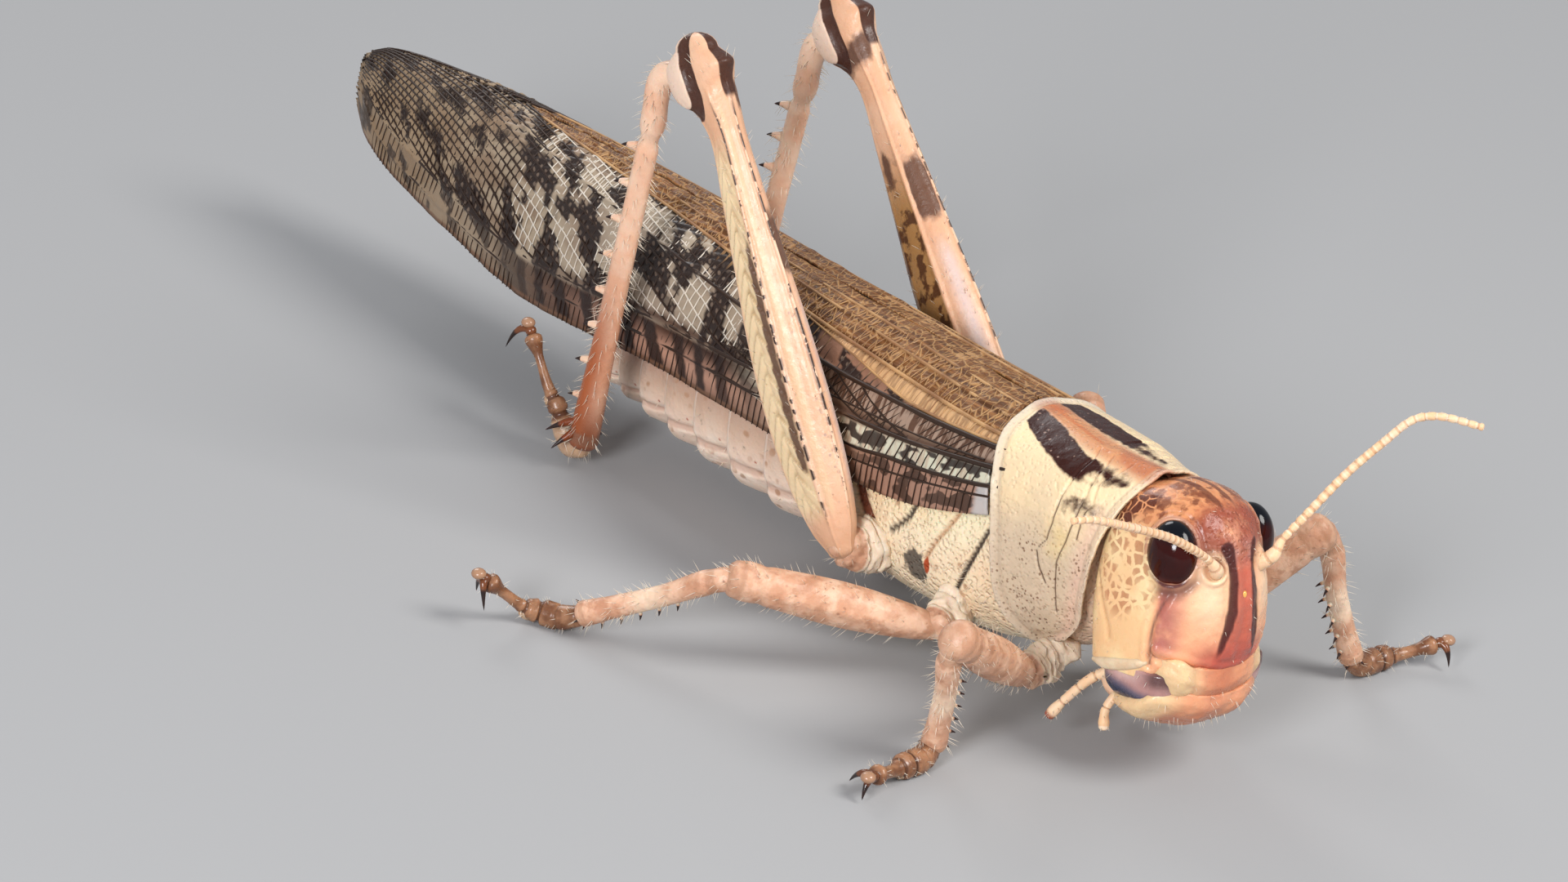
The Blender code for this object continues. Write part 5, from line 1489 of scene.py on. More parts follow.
def make_small_leg(name, leg, paints):
    root, hip, knee, ankle = (np.array(leg[key], float) for key in ("root", "hip", "knee", "ankle"))
    thigh, shin = unit(knee - hip), unit(ankle - knee)
    hinge = unit(np.cross(thigh, shin))
    inner = unit(np.cross(hinge, shin))
    inner = -inner if inner @ thigh > 0 else inner
    base = [(*root, 0.95), (*((root + hip) / 2), 0.98), (*hip, 0.8)]
    make_coxa(name, base, hip, thigh, paints, (1, 0, 0))
    upper = [
        (*(hip + thigh * 0.2), 0.62), (*(hip + thigh * 1.1), 0.78),
        (*(hip + (knee - hip) * 0.45), 1.02),
        (*(hip + (knee - hip) * 0.85), 0.92), (*knee, 0.95, 0.85),
    ]

    def keels(share, angle):
        ridges = sum(hump(np.cos(angle - math.radians(a)), 1.0, 0.035) for a in (35, 145, 215, 325))
        lobes = 0.06 * hump(share, 0.95, 0.07) - 0.05 * hump(share, 0.865, 0.04)
        return 0.05 * ridges * np.sin(np.pi * np.clip(share * 1.05, 0, 1)) + lobes

    grid, poles, share, angle = tube(upper, 56, 120, hinge, keels)
    masks = {"joint": 0.75 * hump(share, 0.99, 0.035), "brown": 0.45 * hump(share, 0.6, 0.2)}
    shape = Shape().grid(grid, poles=poles, masks=masks)
    femur = shape.finish("thigh_" + name, paints["skin"], ("femur_" + name,), "ground", "limb")
    shank = [
        (*(knee - inner * 0.1), 0.55), (*(knee + shin * 1.3 - inner * 0.25), 0.62),
        (*((knee + ankle) / 2), 0.58), (*ankle, 0.62),
    ]

    def neck(share, angle):
        return (-0.05 * hump(share, 0.13, 0.07)
                - 0.06 * step(share, 0.1, 0.4) * fall(share, 0.8, 1.0))

    grid, poles, share, angle = tube(shank, 40, 110, hinge, neck)
    shape = Shape().grid(grid, poles=poles, masks={
        "joint": hump(share, 0.13, 0.05) + hump(share, 0.985, 0.03),
        "brown": 0.4 * hump(share, 0.24, 0.07),
        "base": 0.55 * hump(share, 0.55, 0.4),
    })
    spines_on(shape, shank, SMALL_SPINES, 0.42, 0.92, inner * 0.85, hinge * 0.47)
    for across in (-1, 1):
        for back in (-0.5, 0.9):
            side = unit(hinge * across * 0.9 + inner * back)
            foot = ankle + side * 0.42
            thorn(shape, foot, foot + side * 0.32 + shin * 0.3, 0.1, sides=10, rings=7,
                  masks=horn_masks())
    shin_skin = shape.finish("shin_" + name, paints["skin"], ("tibia_" + name,), "ground", "limb")
    make_foot_skin(name, leg, hinge, paints)
    return (femur, thigh), (shin_skin, shin)


KNEE_REACH = 0.028
LOBE_DROP = 24
LOBE_AT = 0.95
LOBE_LONG = 0.054
LOBE_HIGH = 27


def lobe_place(share, turn):
    """Degrees of rise on either face, and distance from the knee lobe's middle, 1 at its edge."""
    rise = np.degrees(np.arcsin(np.clip(np.sin(np.radians(turn)), -1, 1)))
    return rise, np.hypot((share - LOBE_AT) / LOBE_LONG, (rise + LOBE_DROP) / LOBE_HIGH)


def make_hind_leg(name, leg, paints):
    root, hip, knee, ankle = (np.array(leg[key], float) for key in ("root", "hip", "knee", "ankle"))
    thigh = unit(knee - hip)
    hinge = np.array((1.0, 0, 0))
    rear = unit(np.cross(hinge, thigh))
    rear = -rear if rear[1] < 0 else rear
    base = [(*root, 1.35), (*(root + (hip - root) * 0.6), 1.25),
            (*(root + (hip - root) * 0.85), 0.9)]
    make_coxa(name, base, hip, thigh, paints, (0, 0, 1))
    sections = []
    for share, deep, thick, sag in HIND_FEMUR:
        reach = share + KNEE_REACH * step(share, 0.82, 0.96)
        deep = deep / 2 * (1 + 0.16 * step(share, 0.88, 0.95))
        sections.append((*(hip + (knee - hip) * reach + rear * sag), deep, thick / 2))
    out = -1 if "right" in name else 1

    def outer_turn(angle):
        """Degrees from the middle of the outer face, rising to the upper edge."""
        turn = np.degrees(angle) - 180 if out < 0 else -np.degrees(angle)
        return (turn + 180) % 360 - 180

    keels = ((28, 0.11, 7), (83, 0.13, 8), (-35, 0.09, 7), (152, 0.09, 8), (-152, 0.06, 8),
             (-88, 0.06, 9))

    def around(turn, place):
        return np.abs((turn - place + 180) % 360 - 180)

    def weave(share, turn):
        """The herringbone: slanted ridges that meet along the middle of the outer face."""
        from_middle = np.abs(turn + 4)
        wave = (share * 25 + from_middle * 0.05) % 1
        inside = (step(turn, -35, -29) * fall(turn, 20, 27) * step(share, 0.05, 0.1)
                  * fall(share, 0.74, 0.84))
        return wave, inside

    def relief(share, angle):
        turn = outer_turn(angle)
        body = np.sin(np.pi * np.clip(share * 0.95 + 0.03, 0, 1)) ** 0.4 * fall(share, 0.86, 0.94)
        lift = sum(rise * hump(around(turn, place), 0, half) for place, rise, half in keels) * body
        wave, inside = weave(share, turn)
        lift = lift + inside * (0.13 * wave**1.6 - 0.04) - 0.1 * hump(turn, -3, 3.0) * inside * 0.5
        lift = lift - 0.07 * body * (hump(turn, 56, 22) + 0.6 * hump(turn, -62, 22))
        lobe = hump(share, 0.965, 0.05)
        rise, lobe_gap = lobe_place(share, turn)
        lift = lift + 0.2 * step(-lobe_gap, -1.2, -0.85) - 0.07 * hump(lobe_gap, 1.45, 0.25)
        return lift + 0.1 * lobe * step(rise, 40, 70) - 0.05 * hump(share, 0.905, 0.02)

    stops = np.unique(np.concatenate([np.linspace(0, 0.86, 250), np.linspace(0.86, 1, 60)]))
    grid, poles, share, angle = tube(sections, 144, stops, hinge, relief)
    turn = outer_turn(angle)
    wave, inside = weave(share, turn)
    rise, lobe_gap = lobe_place(share, turn)
    keel1, keel2 = hump(around(turn, 28), 0, 5), hump(around(turn, 83), 0, 6)
    body = step(share, 0.03, 0.1) * fall(share, 0.84, 0.9)
    masks = {
        "weave": inside,
        # The grooves between the herringbone's ridges, where shade is painted.
        "furrow": inside * (1 - step(wave, 0.05, 0.45) * fall(wave, 0.93, 1.0)),
        "cream": hump(turn, 44, 16) * body + 0.9 * hump(turn, -50, 18) * body,
        "pitted": (hump(turn, 68, 15) * body + hump(around(turn, 118), 0, 26))
            * step(share, 0.05, 0.12) * fall(share, 0.44, 0.54),
        "brown": np.maximum.reduce([
            hump(share, 0.6, 0.11) * step(turn, 84, 92) * fall(turn, 138, 150) * 1.2,
            step(share, 0.12, 0.2) * fall(share, 0.55, 0.7) * hump(turn, 17, 13) * 1.05,
            hump(share, 0.66, 0.07) * hump(around(turn, 188), 0, 28) * 0.95,
            hump(share, 0.88, 0.05) * step(around(turn, 0), 92, 120) * 0.9,
        ]),
        "inner": fall(around(turn, -155), 49, 54) * step(share, 0.02, 0.1)
            * fall(share, 0.56, 0.72),
        "pale": hump(around(turn, 118), 0, 26) * step(share, 0.05, 0.14) * fall(share, 0.44, 0.52),
        "knee": np.maximum(step(1 - lobe_gap, -0.75, -0.55) * (lobe_gap > 0.9),
                           1.2 * step(share, 0.865, 0.9) * step(rise, 62, 74)),
        "lobe": step(1 - lobe_gap, -0.02, 0.12),
        "ridge": (keel1 + keel2 + hump(around(turn, -35), 0, 4)) * body,
        "dash": (keel1 + keel2) * body * 1.2,
    }
    shape = Shape().grid(grid, poles=poles, masks=masks)
    femur = shape.finish("thigh_" + name, paints["thigh"], ("femur_" + name,), "ground", "limb")
    top = np.array(leg["crook"], float)
    shin = unit(ankle - top)
    back = unit(np.array((0, 1, 0)) - shin * shin[1])
    shank = [
        (*(knee + rear * 1.4 + thigh * 0.35), 0.55, 0.55), (*top, 0.68, 0.6),
        (*(top + (ankle - top) * 0.12), 0.62, 0.56), (*((top + ankle) / 2), 0.62, 0.6),
        (*(top + (ankle - top) * 0.75), 0.68, 0.66), (*(top + (ankle - top) * 0.92), 0.8, 0.76),
        (*ankle, 0.84, 0.8),
    ]

    def planes(share, angle):
        flat = -0.05 * np.abs(np.sin(2 * angle)) ** 2 * step(share, 0.15, 0.3)
        return flat - 0.12 * hump(share, 0.225, 0.03) + 0.05 * hump(share, 0.18, 0.04)

    grid, poles, share, angle = tube(shank, 48, 190, hinge, planes)
    shape = Shape().grid(grid, poles=poles, masks={
        "rust": 0.97 * step(share, 0.44, 0.8) * (0.75 + 0.25 * np.cos(angle * 2)),
        "deep": step(share, 0.86, 0.99) * (0.7 + 0.3 * np.cos(angle * 3)),
        "joint": hump(share, 0.985, 0.03),
    })
    spines_on(shape, shank, HIND_SPINES, 0.26, 0.9, back * 1.15, hinge * 0.66, 0.26,
              {"tip": lambda s: step(s, 0.55, 0.68)})
    for place, tip in HIND_SPURS:
        middle = along(by_length(shank), place)[:3]
        tip = np.array(tip, float)
        thorn(shape, middle + tip * 0.22, middle + tip, 0.27, (0, 0, 0.1), sides=16, rings=14,
              masks={"tip": lambda s: step(s, 0.4, 0.75), "deep": lambda s: 1 + 0 * s,
                     "rust": lambda s: 1 + 0 * s})
    shin_skin = shape.finish("shin_" + name, paints["rust"], ("tibia_" + name,), "ground", "limb")
    make_foot_skin(name, leg, hinge, paints)
    return (femur, thigh), (shin_skin, shin)


def make_legs():
    paints = paints_for_legs()
    hosts = {}
    for name, leg in LEGS.items():
        make = make_hind_leg if name[0] == "h" else make_small_leg
        hosts[name] = make(name, leg, paints)
    return hosts


# ---- Wings ----
# Courses of the main veins: millimetres back along the body, and degrees from the ridge to the
# lower edge.

WING_RISE = 0.115
WING_THICKNESS = 0.13
VEIL_THICKNESS = 0.12
VEIN_END = 61.0
RADIUS_LINE = (
    (6.5, 61), (8, 62), (16, 66), (25, 71), (38, 76), (46, 77), (52, 75), (58, 68), (61, 55),
)
COSTA_LINE = (
    (6.5, 73), (8, 74), (14, 75), (16, 77), (25, 80), (38, 83), (50, 84), (58, 80), (60.8, 66),
)
MEDIAN_LINE = (
    (7, 49), (11, 49.6), (14.8, 50), (18.5, 51), (22, 50), (28, 47), (34, 41), (44, 28), (52, 8),
)
LADDER_LINE = ((7.5, 46), (9, 47), (14, 47), (18, 41), (22, 35), (24, 32.5))
CLAVAL_LINE = (
    (7.8, 40), (9, 40), (14, 37), (22, 33), (30, 25), (38.8, 16.5), (42, 13), (46, 7), (48, 1.5),
)
PALE_LINE = ((8, 59), (14, 60.5), (20, 63), (27, 68))
RIDGE_LINES = (((8.4, 27), (20, 21), (32, 14), (42, 6)), ((8.6, 15), (20, 12), (34, 6.5)))
# Folds that the main veins raise in the skin: line, rise, half width in degrees.
VEIN_RISES = (
    (RADIUS_LINE, 0.1, 1.6), (COSTA_LINE, 0.1, 1.4), (MEDIAN_LINE, 0.1, 1.5),
    (CLAVAL_LINE, -0.1, 2.2), (RIDGE_LINES[0], 0.1, 2.4), (RIDGE_LINES[1], 0.08, 2.4),
)
STRIP_LINE = ((6.6, 80), (12, 80), (16, 82), (22, 85))
BRANCH_SLOPE = -2.9
BRANCH_STEP = 3.2
LANE_STEP = -BRANCH_SLOPE * BRANCH_STEP / 2
NET_STEP = 0.46


def wing_grid(y, turn, side, depth=0.0, parting=0.04):
    """Points of a folded forewing: turn in degrees from the ridge to the lower edge."""
    wide, ridge, low = np.moveaxis(along(WING, y), -1, 0)
    angle = np.radians(turn)
    x = parting + (wide - depth - parting) * np.sin(angle)
    z = low + (ridge - low) * np.clip(np.cos(angle), 0, 1) ** 0.88 - depth * np.cos(angle)
    return np.stack([side * x, y + 0 * turn, z + 0 * x], -1)


def branch_lanes():
    """The oblique veins, which leave the radius and rise to the claval line or the ridge.

    Each is a list of (y, turn).
    """
    lanes = []
    for start in np.arange(12.5, 59.5, BRANCH_STEP / 2):
        y = np.arange(start, VEIN_END, 0.4)
        bend = np.clip((y - start) / 5.0, 0, 1)
        turn = course(RADIUS_LINE, start) + BRANCH_SLOPE * (y - start) * (0.35 + 0.65 * bend)
        limit = np.where(y < 27, course(MEDIAN_LINE, y),
                         np.where(y < 48, course(CLAVAL_LINE, y), 1.5))
        held = turn > limit
        stop = int(np.argmax(~held)) if (~held).any() else len(y)
        if stop > 2:
            lanes.append(list(zip(y[:stop], turn[:stop])))
    return lanes


def wing_veins(side):
    """Polylines of (y, turn, radius) for the veins of one forewing."""
    lines = []

    def run(line, radius, first=None, last=None, end=None):
        first = line[0][0] if first is None else first
        last = line[-1][0] if last is None else last
        y = np.arange(first, last + 0.01, 0.4)
        share = (y - y[0]) / (y[-1] - y[0])
        lines.append(np.stack([y, course(line, y),
                               radius + (end or radius * 0.6) * share - radius * share], 1))

    run(RADIUS_LINE, 0.13, last=60.6, end=0.06)
    run(COSTA_LINE, 0.11, last=60.4, end=0.06)
    run(MEDIAN_LINE, 0.15, last=50, end=0.05)
    run(LADDER_LINE, 0.085)
    run(CLAVAL_LINE, 0.11)
    run(PALE_LINE, 0.06)
    run(STRIP_LINE, 0.06)
    for line in RIDGE_LINES:
        run(line, 0.1)
    lanes = branch_lanes()
    for k, lane in enumerate(lanes):
        y, turn = np.array(lane).T
        lines.append(np.stack([y, turn, np.full(len(y), 0.06 if k % 2 == 0 else 0.052)], 1))
    sway = np.random.default_rng(11 if side < 0 else 12)

    def rungs(upper, lower, first, last, gap, slant, radius):
        y = first
        while y < last:
            shift = slant + sway.uniform(-0.06, 0.06)
            one, two = y, min(y + shift, VEIN_END)
            top, bottom = course(upper, one), course(lower, two)
            if bottom - top > 0.8:
                middle = (one + two) / 2 + sway.uniform(-0.04, 0.04), (top + bottom) / 2
                lines.append(np.array([(one, top, radius), (*middle, radius * 0.85),
                                       (two, bottom, radius)]))
            y += gap * sway.uniform(0.85, 1.15)

    rungs(LADDER_LINE, MEDIAN_LINE, 8.5, 23.5, 0.5, 0.25, 0.032)
    rungs(CLAVAL_LINE, LADDER_LINE, 8.6, 23.0, 0.36, 0.1, 0.04)
    rungs(CLAVAL_LINE, MEDIAN_LINE, 24.0, 46.0, 0.5, 0.4, 0.028)
    rungs(RADIUS_LINE, COSTA_LINE, 8.0, 60.0, 0.48, 0.35, 0.034)
    rungs(COSTA_LINE, ((6, 90), (62, 90)), 8.0, 59.5, 0.42, 0.2, 0.034)
    rungs(MEDIAN_LINE, PALE_LINE, 8.5, 26.0, 0.55, 0.9, 0.026)
    rungs(PALE_LINE, RADIUS_LINE, 8.5, 26.0, 0.6, 0.4, 0.026)
    rungs(RIDGE_LINES[0], CLAVAL_LINE, 9.0, 41.0, 0.55, 0.3, 0.028)
    rungs(RIDGE_LINES[1], RIDGE_LINES[0], 9.5, 33.0, 0.6, 0.3, 0.028)
    for one, two in zip(lanes, lanes[1:]):
        a, b = np.array(one), np.array(two)
        for y in np.arange(b[0, 0] + 0.3, b[-1, 0] - 0.1, 0.46):
            if y - 0.15 > a[-1, 0]:
                low_end = 1.5 if y > 48 else course(CLAVAL_LINE, y)
                if y < 27:
                    continue
            else:
                low_end = np.interp(y - 0.15, a[:, 0], a[:, 1])
            high = np.interp(y, b[:, 0], b[:, 1])
            y2 = y - 0.12 + sway.uniform(-0.05, 0.05)
            if high - low_end > 0.8:
                lines.append(np.array([(y, high, 0.036),
                                       ((y + y2) / 2, (high + low_end) / 2, 0.032),
                                       (y2, low_end, 0.036)]))
    return lines


def vein_recipe():
    """Round rods along the edges of a mesh, each as thick as its own corners say."""
    recipe = Recipe("vein_rods",
                    (("Finish", "Material", None), ("Sides", "Int", 6), ("Swell", "Float", 1.0)))
    thick = recipe.stored("thick", "FLOAT")
    path = recipe.node("GeometryNodeMeshToCurve", {"Mesh": recipe.start.outputs[0]})
    size = recipe.maths("MULTIPLY", thick, recipe.given("Swell"))
    rod = recipe.node("GeometryNodeSetCurveRadius", {"Curve": path, "Radius": size})
    ring = recipe.node("GeometryNodeCurvePrimitiveCircle",
                       {"Resolution": recipe.given("Sides"), "Radius": 1.0})
    solid = recipe.node("GeometryNodeCurveToMesh", {"Curve": rod, "Profile Curve": ring})
    if "Scale" in solid.inputs:
        recipe.tree.links.new(size.outputs[0], solid.inputs["Scale"])
    solid.inputs["Fill Caps"].default_value = True
    return recipe.close(solid.outputs[0])


def pigment(y, turn, side):
    """How dark each little cell of the net is: 0 clear, 1 black. One tone fills one cell."""
    lane = np.floor((turn - BRANCH_SLOPE * y) / LANE_STEP)
    bay = np.floor((y + 0.05 * lane) / NET_STEP)
    centre = (bay + 0.5) * NET_STEP
    keys = np.stack([centre * 0.5 + lane * 0.1 + side * 3, lane * 0.3, 0 * lane], -1)
    corners, back = np.unique(keys.reshape(-1, 3).round(4), axis=0, return_inverse=True)
    tone = np.array([noise.noise(Vector(c)) + 0.35 * noise.noise(Vector(c) * 3.1) for c in corners])
    tone = tone[back.ravel()].reshape(np.shape(lane))
    share = 0.16 * step(y, 43, 54) - 0.03 * hump(y, 34, 9)
    return step(tone, 0.02 + share, 0.05 + share)


def wing_masks(y, turn, side):
    claval, radius, costa = course(CLAVAL_LINE, y), course(RADIUS_LINE, y), course(COSTA_LINE, y)
    median, ladder, pale = course(MEDIAN_LINE, y), course(LADDER_LINE, y), course(PALE_LINE, y)
    before = fall(y, 24, 27)
    dorsal = fall(turn, claval - 1.5, claval + 1.0) * fall(y, 45, 50)
    strip = step(turn, costa, costa + 1.5)
    ladder_band = (step(turn, claval, claval + 1) * fall(turn, ladder - 1, ladder + 0.5)
                   * fall(y, 21, 24))
    below = step(turn, radius + 0.5, radius + 2.0)
    bars = step(np.sin(2 * np.pi * (y + 0.06 * turn) / 1.9 + np.sin(y * 0.9)), -0.1, 0.35)
    field = step(y, 20, 26) * (1 - dorsal) * (1 - below * (1 - 0.85 * step(y, 38, 48)))
    dark = pigment(y, turn, side)
    trough = 0.5 - 0.5 * np.cos(2 * np.pi * turn / 6.2)
    mid = step(turn, ladder, ladder + 1) * fall(turn, median - 1, median) * before
    return {
        "span": y + 0 * turn,
        "rise": turn * WING_RISE + 0 * y,
        "dorsal": dorsal,
        "trough": trough * dorsal,
        "gold": ladder_band,
        "peach": step(turn, median, median + 1) * fall(turn, pale - 1, pale + 1) * before,
        "bundle": hump(turn, radius - 1.5, 4.2) * fall(y, 34, 44),
        "green": below * fall(turn, costa - 1, costa) * fall(y, 22, 27),
        "bars": bars * below * step(y, 22, 27) * fall(y, 40, 48),
        "costal": below * step(y, 22, 27) * (1 - 0.85 * step(y, 38, 48)),
        "flush": below * hump(y, 30, 14) * hump(turn, 84, 10),
        "strip": strip * fall(y, 14, 19),
        "glass": strip * fall(y, 7.2, 8.6),
        "mid": mid,
        "dark": dark * np.clip(field + mid, 0, 1),
        "median": hump(turn, median, 1.5) * fall(y, 27, 34),
        "black": hump(turn, costa, 1.3) * fall(y, 22, 40),
        "field": field,
        "window": field * hump(y, 33, 11),
        "tip": step(y, 44, 56),
        "hem": hump(turn, 90, 2.6) * step(y, 12, 16),
    }


def wing_finish(name):
    paint = Finish(name)
    flat = paint.node("CombineXYZ",
                      {0: paint.mask("span"), 1: paint.mask("rise"), 2: 0.0}).outputs[0]

    def flat_noise(scale, detail=2.0, stretch=(1.0, 1.0, 1.0)):
        place = paint.node("Mapping", {"Vector": flat, "Scale": stretch}).outputs[0]
        return paint.node("TexNoise",
                          {"Vector": place, "Scale": scale, "Detail": detail}).outputs["Fac"]

    cloud = paint.edge(flat_noise(0.5, 2, (0.6, 1.4, 1)), 0.42, 0.62)
    streak = paint.edge(flat_noise(1.6, 3, (0.3, 2.6, 1)), 0.46, 0.6)
    comb = paint.edge(flat_noise(2.2, 2, (2.2, 0.25, 1)), 0.44, 0.58)
    blot = paint.edge(flat_noise(0.85, 1.5, (0.9, 1.5, 1)), 0.5, 0.55)
    paint.base((0.24, 0.15, 0.1), (0.32, 0.21, 0.14), 0.3)
    paint.over((0.37, 0.29, 0.205), "field", 0.95)
    paint.over((0.17, 0.095, 0.055), ("field", cloud), 0.6)
    paint.over((0.38, 0.32, 0.25), "window", 0.6)
    paint.over((0.3, 0.2, 0.115), "tip", 0.7)
    paint.over((0.165, 0.064, 0.02), "dorsal")
    paint.over((0.36, 0.165, 0.058), ("dorsal", streak), 0.7)
    paint.over((0.06, 0.022, 0.008),
               ("trough", paint.edge(flat_noise(0.3, 2, (0.6, 2, 1)), 0.3, 0.55)), 0.85)
    fine = paint.node("Mapping",
                      {"Vector": flat, "Scale": (2.6, 0.8, 1.0),
                       "Rotation": (0, 0, 0.5)}).outputs[0]
    web = paint.node("TexVoronoi", {"Vector": fine, "Scale": 1.15},
                     feature="DISTANCE_TO_EDGE").outputs["Distance"]
    paint.over((0.5, 0.28, 0.12), ("dorsal", paint.edge(web, 0.11, 0.02)), 0.75)
    paint.bump(("dorsal", paint.edge(web, 0.1, 0.0)), 0.05)
    paint.over((0.11, 0.055, 0.034), "peach")
    paint.over((0.5, 0.36, 0.27), ("peach", comb), 0.6)
    paint.over((0.27, 0.14, 0.09), "mid")
    paint.over((0.62, 0.6, 0.46), "green")
    paint.over((0.46, 0.27, 0.18), ("green", comb), 0.5)
    paint.over((0.03, 0.02, 0.018), ("green", blot), 0.95)
    paint.over((0.034, 0.014, 0.009), "costal")
    paint.over((0.5, 0.275, 0.19), "flush", 0.85)
    paint.over((0.022, 0.012, 0.01), "bars", 0.95)
    paint.over((0.08, 0.04, 0.026), "bundle", 0.92)
    paint.over((0.02, 0.012, 0.011), "dark", 0.97)
    lane = paint.maths("MULTIPLY_ADD", paint.mask("rise"), 1 / (WING_RISE * LANE_STEP),
                       paint.maths("MULTIPLY", paint.mask("span"), -BRANCH_SLOPE / LANE_STEP))
    bay = paint.maths("MULTIPLY_ADD", paint.maths("FLOOR", lane), 0.05 / NET_STEP,
                      paint.maths("MULTIPLY", paint.mask("span"), 1 / NET_STEP))
    off = [paint.maths("SUBTRACT", paint.maths("FRACT", part), 0.5) for part in (lane, bay)]
    far = paint.maths("SQRT",
                      paint.maths("ADD", *[paint.maths("MULTIPLY", part, part) for part in off]))
    heart = paint.maths("MULTIPLY", paint.edge(far, 0.3, 0.16),
                        paint.edge(flat_noise(0.7), 0.38, 0.55))
    paint.over((0.19, 0.135, 0.1), ("dark", heart), 0.75)
    paint.layer("gold", (0.6, 0.36, 0.18), 0.2, 1.0)
    paint.over((0.13, 0.06, 0.03), ("gold", comb), 0.5)
    paint.over((0.36, 0.2, 0.14), "strip", 0.95)
    paint.over((0.06, 0.032, 0.022), ("strip", blot), 0.9)
    paint.layer("glass", (0.55, 0.52, 0.5), 0.4, 1.0, strength=0.85)
    paint.layer("median", (0.016, 0.01, 0.009), 0.3, 1.8)
    paint.layer("black", (0.016, 0.01, 0.009), 0.4, 1.8)
    paint.layer("hem", (0.16, 0.08, 0.045), 0.3, 2.0, strength=0.85)
    paint.bump(flat_noise(3.5, 4), 0.03)
    paint.bump(("dorsal", flat_noise(4.0, 3, (0.6, 2.0, 1))), 0.06)
    paint.bump(paint.noise(16, 2), 0.008)
    return paint.done(0.38, 0.1, gloss=0.25, coat=0.06, under=0.08, glow=(1.0, 0.6, 0.35))


def make_wings():
    wing_skin = wing_finish("wing_skin")
    veins = Finish("wing_vein").base((0.5, 0.29, 0.13), (0.26, 0.13, 0.06), 0.5)
    veins.over((0.032, 0.017, 0.011), "dusk")
    veins.over((0.66, 0.58, 0.49), "pale")
    vein_paint = veins.done(0.36, 0.08, coat=0.06, under=0.1)
    rods = vein_recipe()
    for side, word in SIDES:
        turn = np.concatenate([np.linspace(0.3, 30, 34), np.linspace(31, 90, 66)])[None]
        share = np.linspace(0, 1, 300)[:, None]
        root = course(WING_ROOT, turn)
        fringe = 0.1 * np.sin(turn * 0.9) + 0.12 * np.sin(turn * 2.3 + 1)
        y = root + (WING_TIP_AT - root + fringe * step(share, 0.97, 1)) * share
        tear = rough_field(np.stack([y * 2.6, y * 0 + side, y * 0], -1), 1.0, 31 + side)
        torn = step(y, 46, 50) * (tear - 0.38)
        turn = turn + (1 - turn / 90) * 34 * np.clip(torn, 0, 1)
        points_at = np.minimum(y, WING_TIP_AT)
        lift = np.zeros_like(y)
        for line, rise, half in VEIN_RISES:
            inside = (y < line[-1][0] + 1) * 1.0
            lift += rise * hump(turn, course(line, y), half) * inside
        waves = np.sin((turn + BRANCH_SLOPE * y) / LANE_STEP * 2 * np.pi)
        lift += 0.035 * waves * step(y, 24, 30) * (turn < course(RADIUS_LINE, y))
        swell = rough_field(np.stack([y, turn * WING_RISE, 0 * y], -1), 0.35, 7 + side) - 0.5
        lift += 0.14 * swell
        lift -= 0.11 * hump(turn, 90, 9) * step(y, 8, 14) * fall(y, 20, 26)
        outer = wing_grid(points_at, turn, side, -lift)
        inner = wing_grid(points_at, turn, side, -lift + WING_THICKNESS)
        outer[..., 1] = inner[..., 1] = y
        shape = Shape().slab(outer, inner, wing_masks(y, turn, side))
        shape.finish("forewing_skin_" + word, wing_skin, ("forewing_" + word,), "trunk", "wing")
        places, edges, thick, dusk, pale = [], [], [], [], []
        for line in wing_veins(side):
            start = len(places)
            spots = wing_grid(np.minimum(line[:, 0], WING_TIP_AT), line[:, 1], side, -0.02)
            places += spots.tolist()
            edges += [(start + k, start + k + 1) for k in range(len(line) - 1)]
            thick += list(line[:, 2])
            y, turn, size = line.T
            anal = (turn < course(CLAVAL_LINE, y) + 0.8) & (y < 46)
            ladder = (y < 23) & (turn < course(LADDER_LINE, y) + 0.8)
            dusk += list(1.0 * ~(anal | ladder))
            middle = len(y) // 2
            clear = (pigment(y[middle], turn[middle], side) < 0.5
                     and turn[middle] < course(RADIUS_LINE, y[middle]) - 3)
            seen = (clear and 25 < y[middle] < 45
                    and turn[middle] > course(CLAVAL_LINE, y[middle]) + 3)
            lane = size.min() > 0.05 and size.max() < 0.07
            clear_cells = (pigment(y, turn, side) < 0.5) & (turn < course(RADIUS_LINE, y) - 3)
            free = clear_cells & (y > 26) & (y < 44)
            if lane:
                thick[-len(y):] = list(size * (1 - 0.3 * free))
            pale += list(1.0 * free) if lane else [1.0 * (seen and size[middle] < 0.05)] * len(y)
        mesh = bpy.data.meshes.new("veins_" + word)
        mesh.from_pydata((set_down(np.array(places), "trunk") * MM).tolist(), edges, [])
        for name, values in (("thick", np.array(thick) * MM), ("dusk", dusk), ("pale", pale)):
            mark(mesh, name, values)
        rods.make("wing_veins_" + word, mesh, vein_paint, slot="wing", Sides=6)
    veil = Finish("hind_veil").base((0.66, 0.58, 0.42), (0.6, 0.5, 0.34), 0.4)
    veil.bump(veil.noise(2.5, 3, stretch=(4, 0.4, 4)), 0.06)
    film = veil.done(0.34, 0.06, coat=0.2, under=0.2)
    for side, word in SIDES:
        turn = np.linspace(8, 44, 60)[None]
        share = np.linspace(0, 1, 120)[:, None]
        y = HINDWING[0] + (HINDWING[1] - HINDWING[0]) * share + 0 * turn
        turn = turn + 0 * share
        pleat = 0.1 * np.abs(((turn / 3.0) % 2) - 1)
        sheets = [wing_grid(y, turn, side, HINDWING_DEPTH + pleat + deep, 0.45)
                  for deep in (0, VEIL_THICKNESS)]
        shape = Shape().slab(*sheets)
        shape.finish("hindwing_veil_" + word, film, ("hindwing_" + word,), "trunk", "membrane")
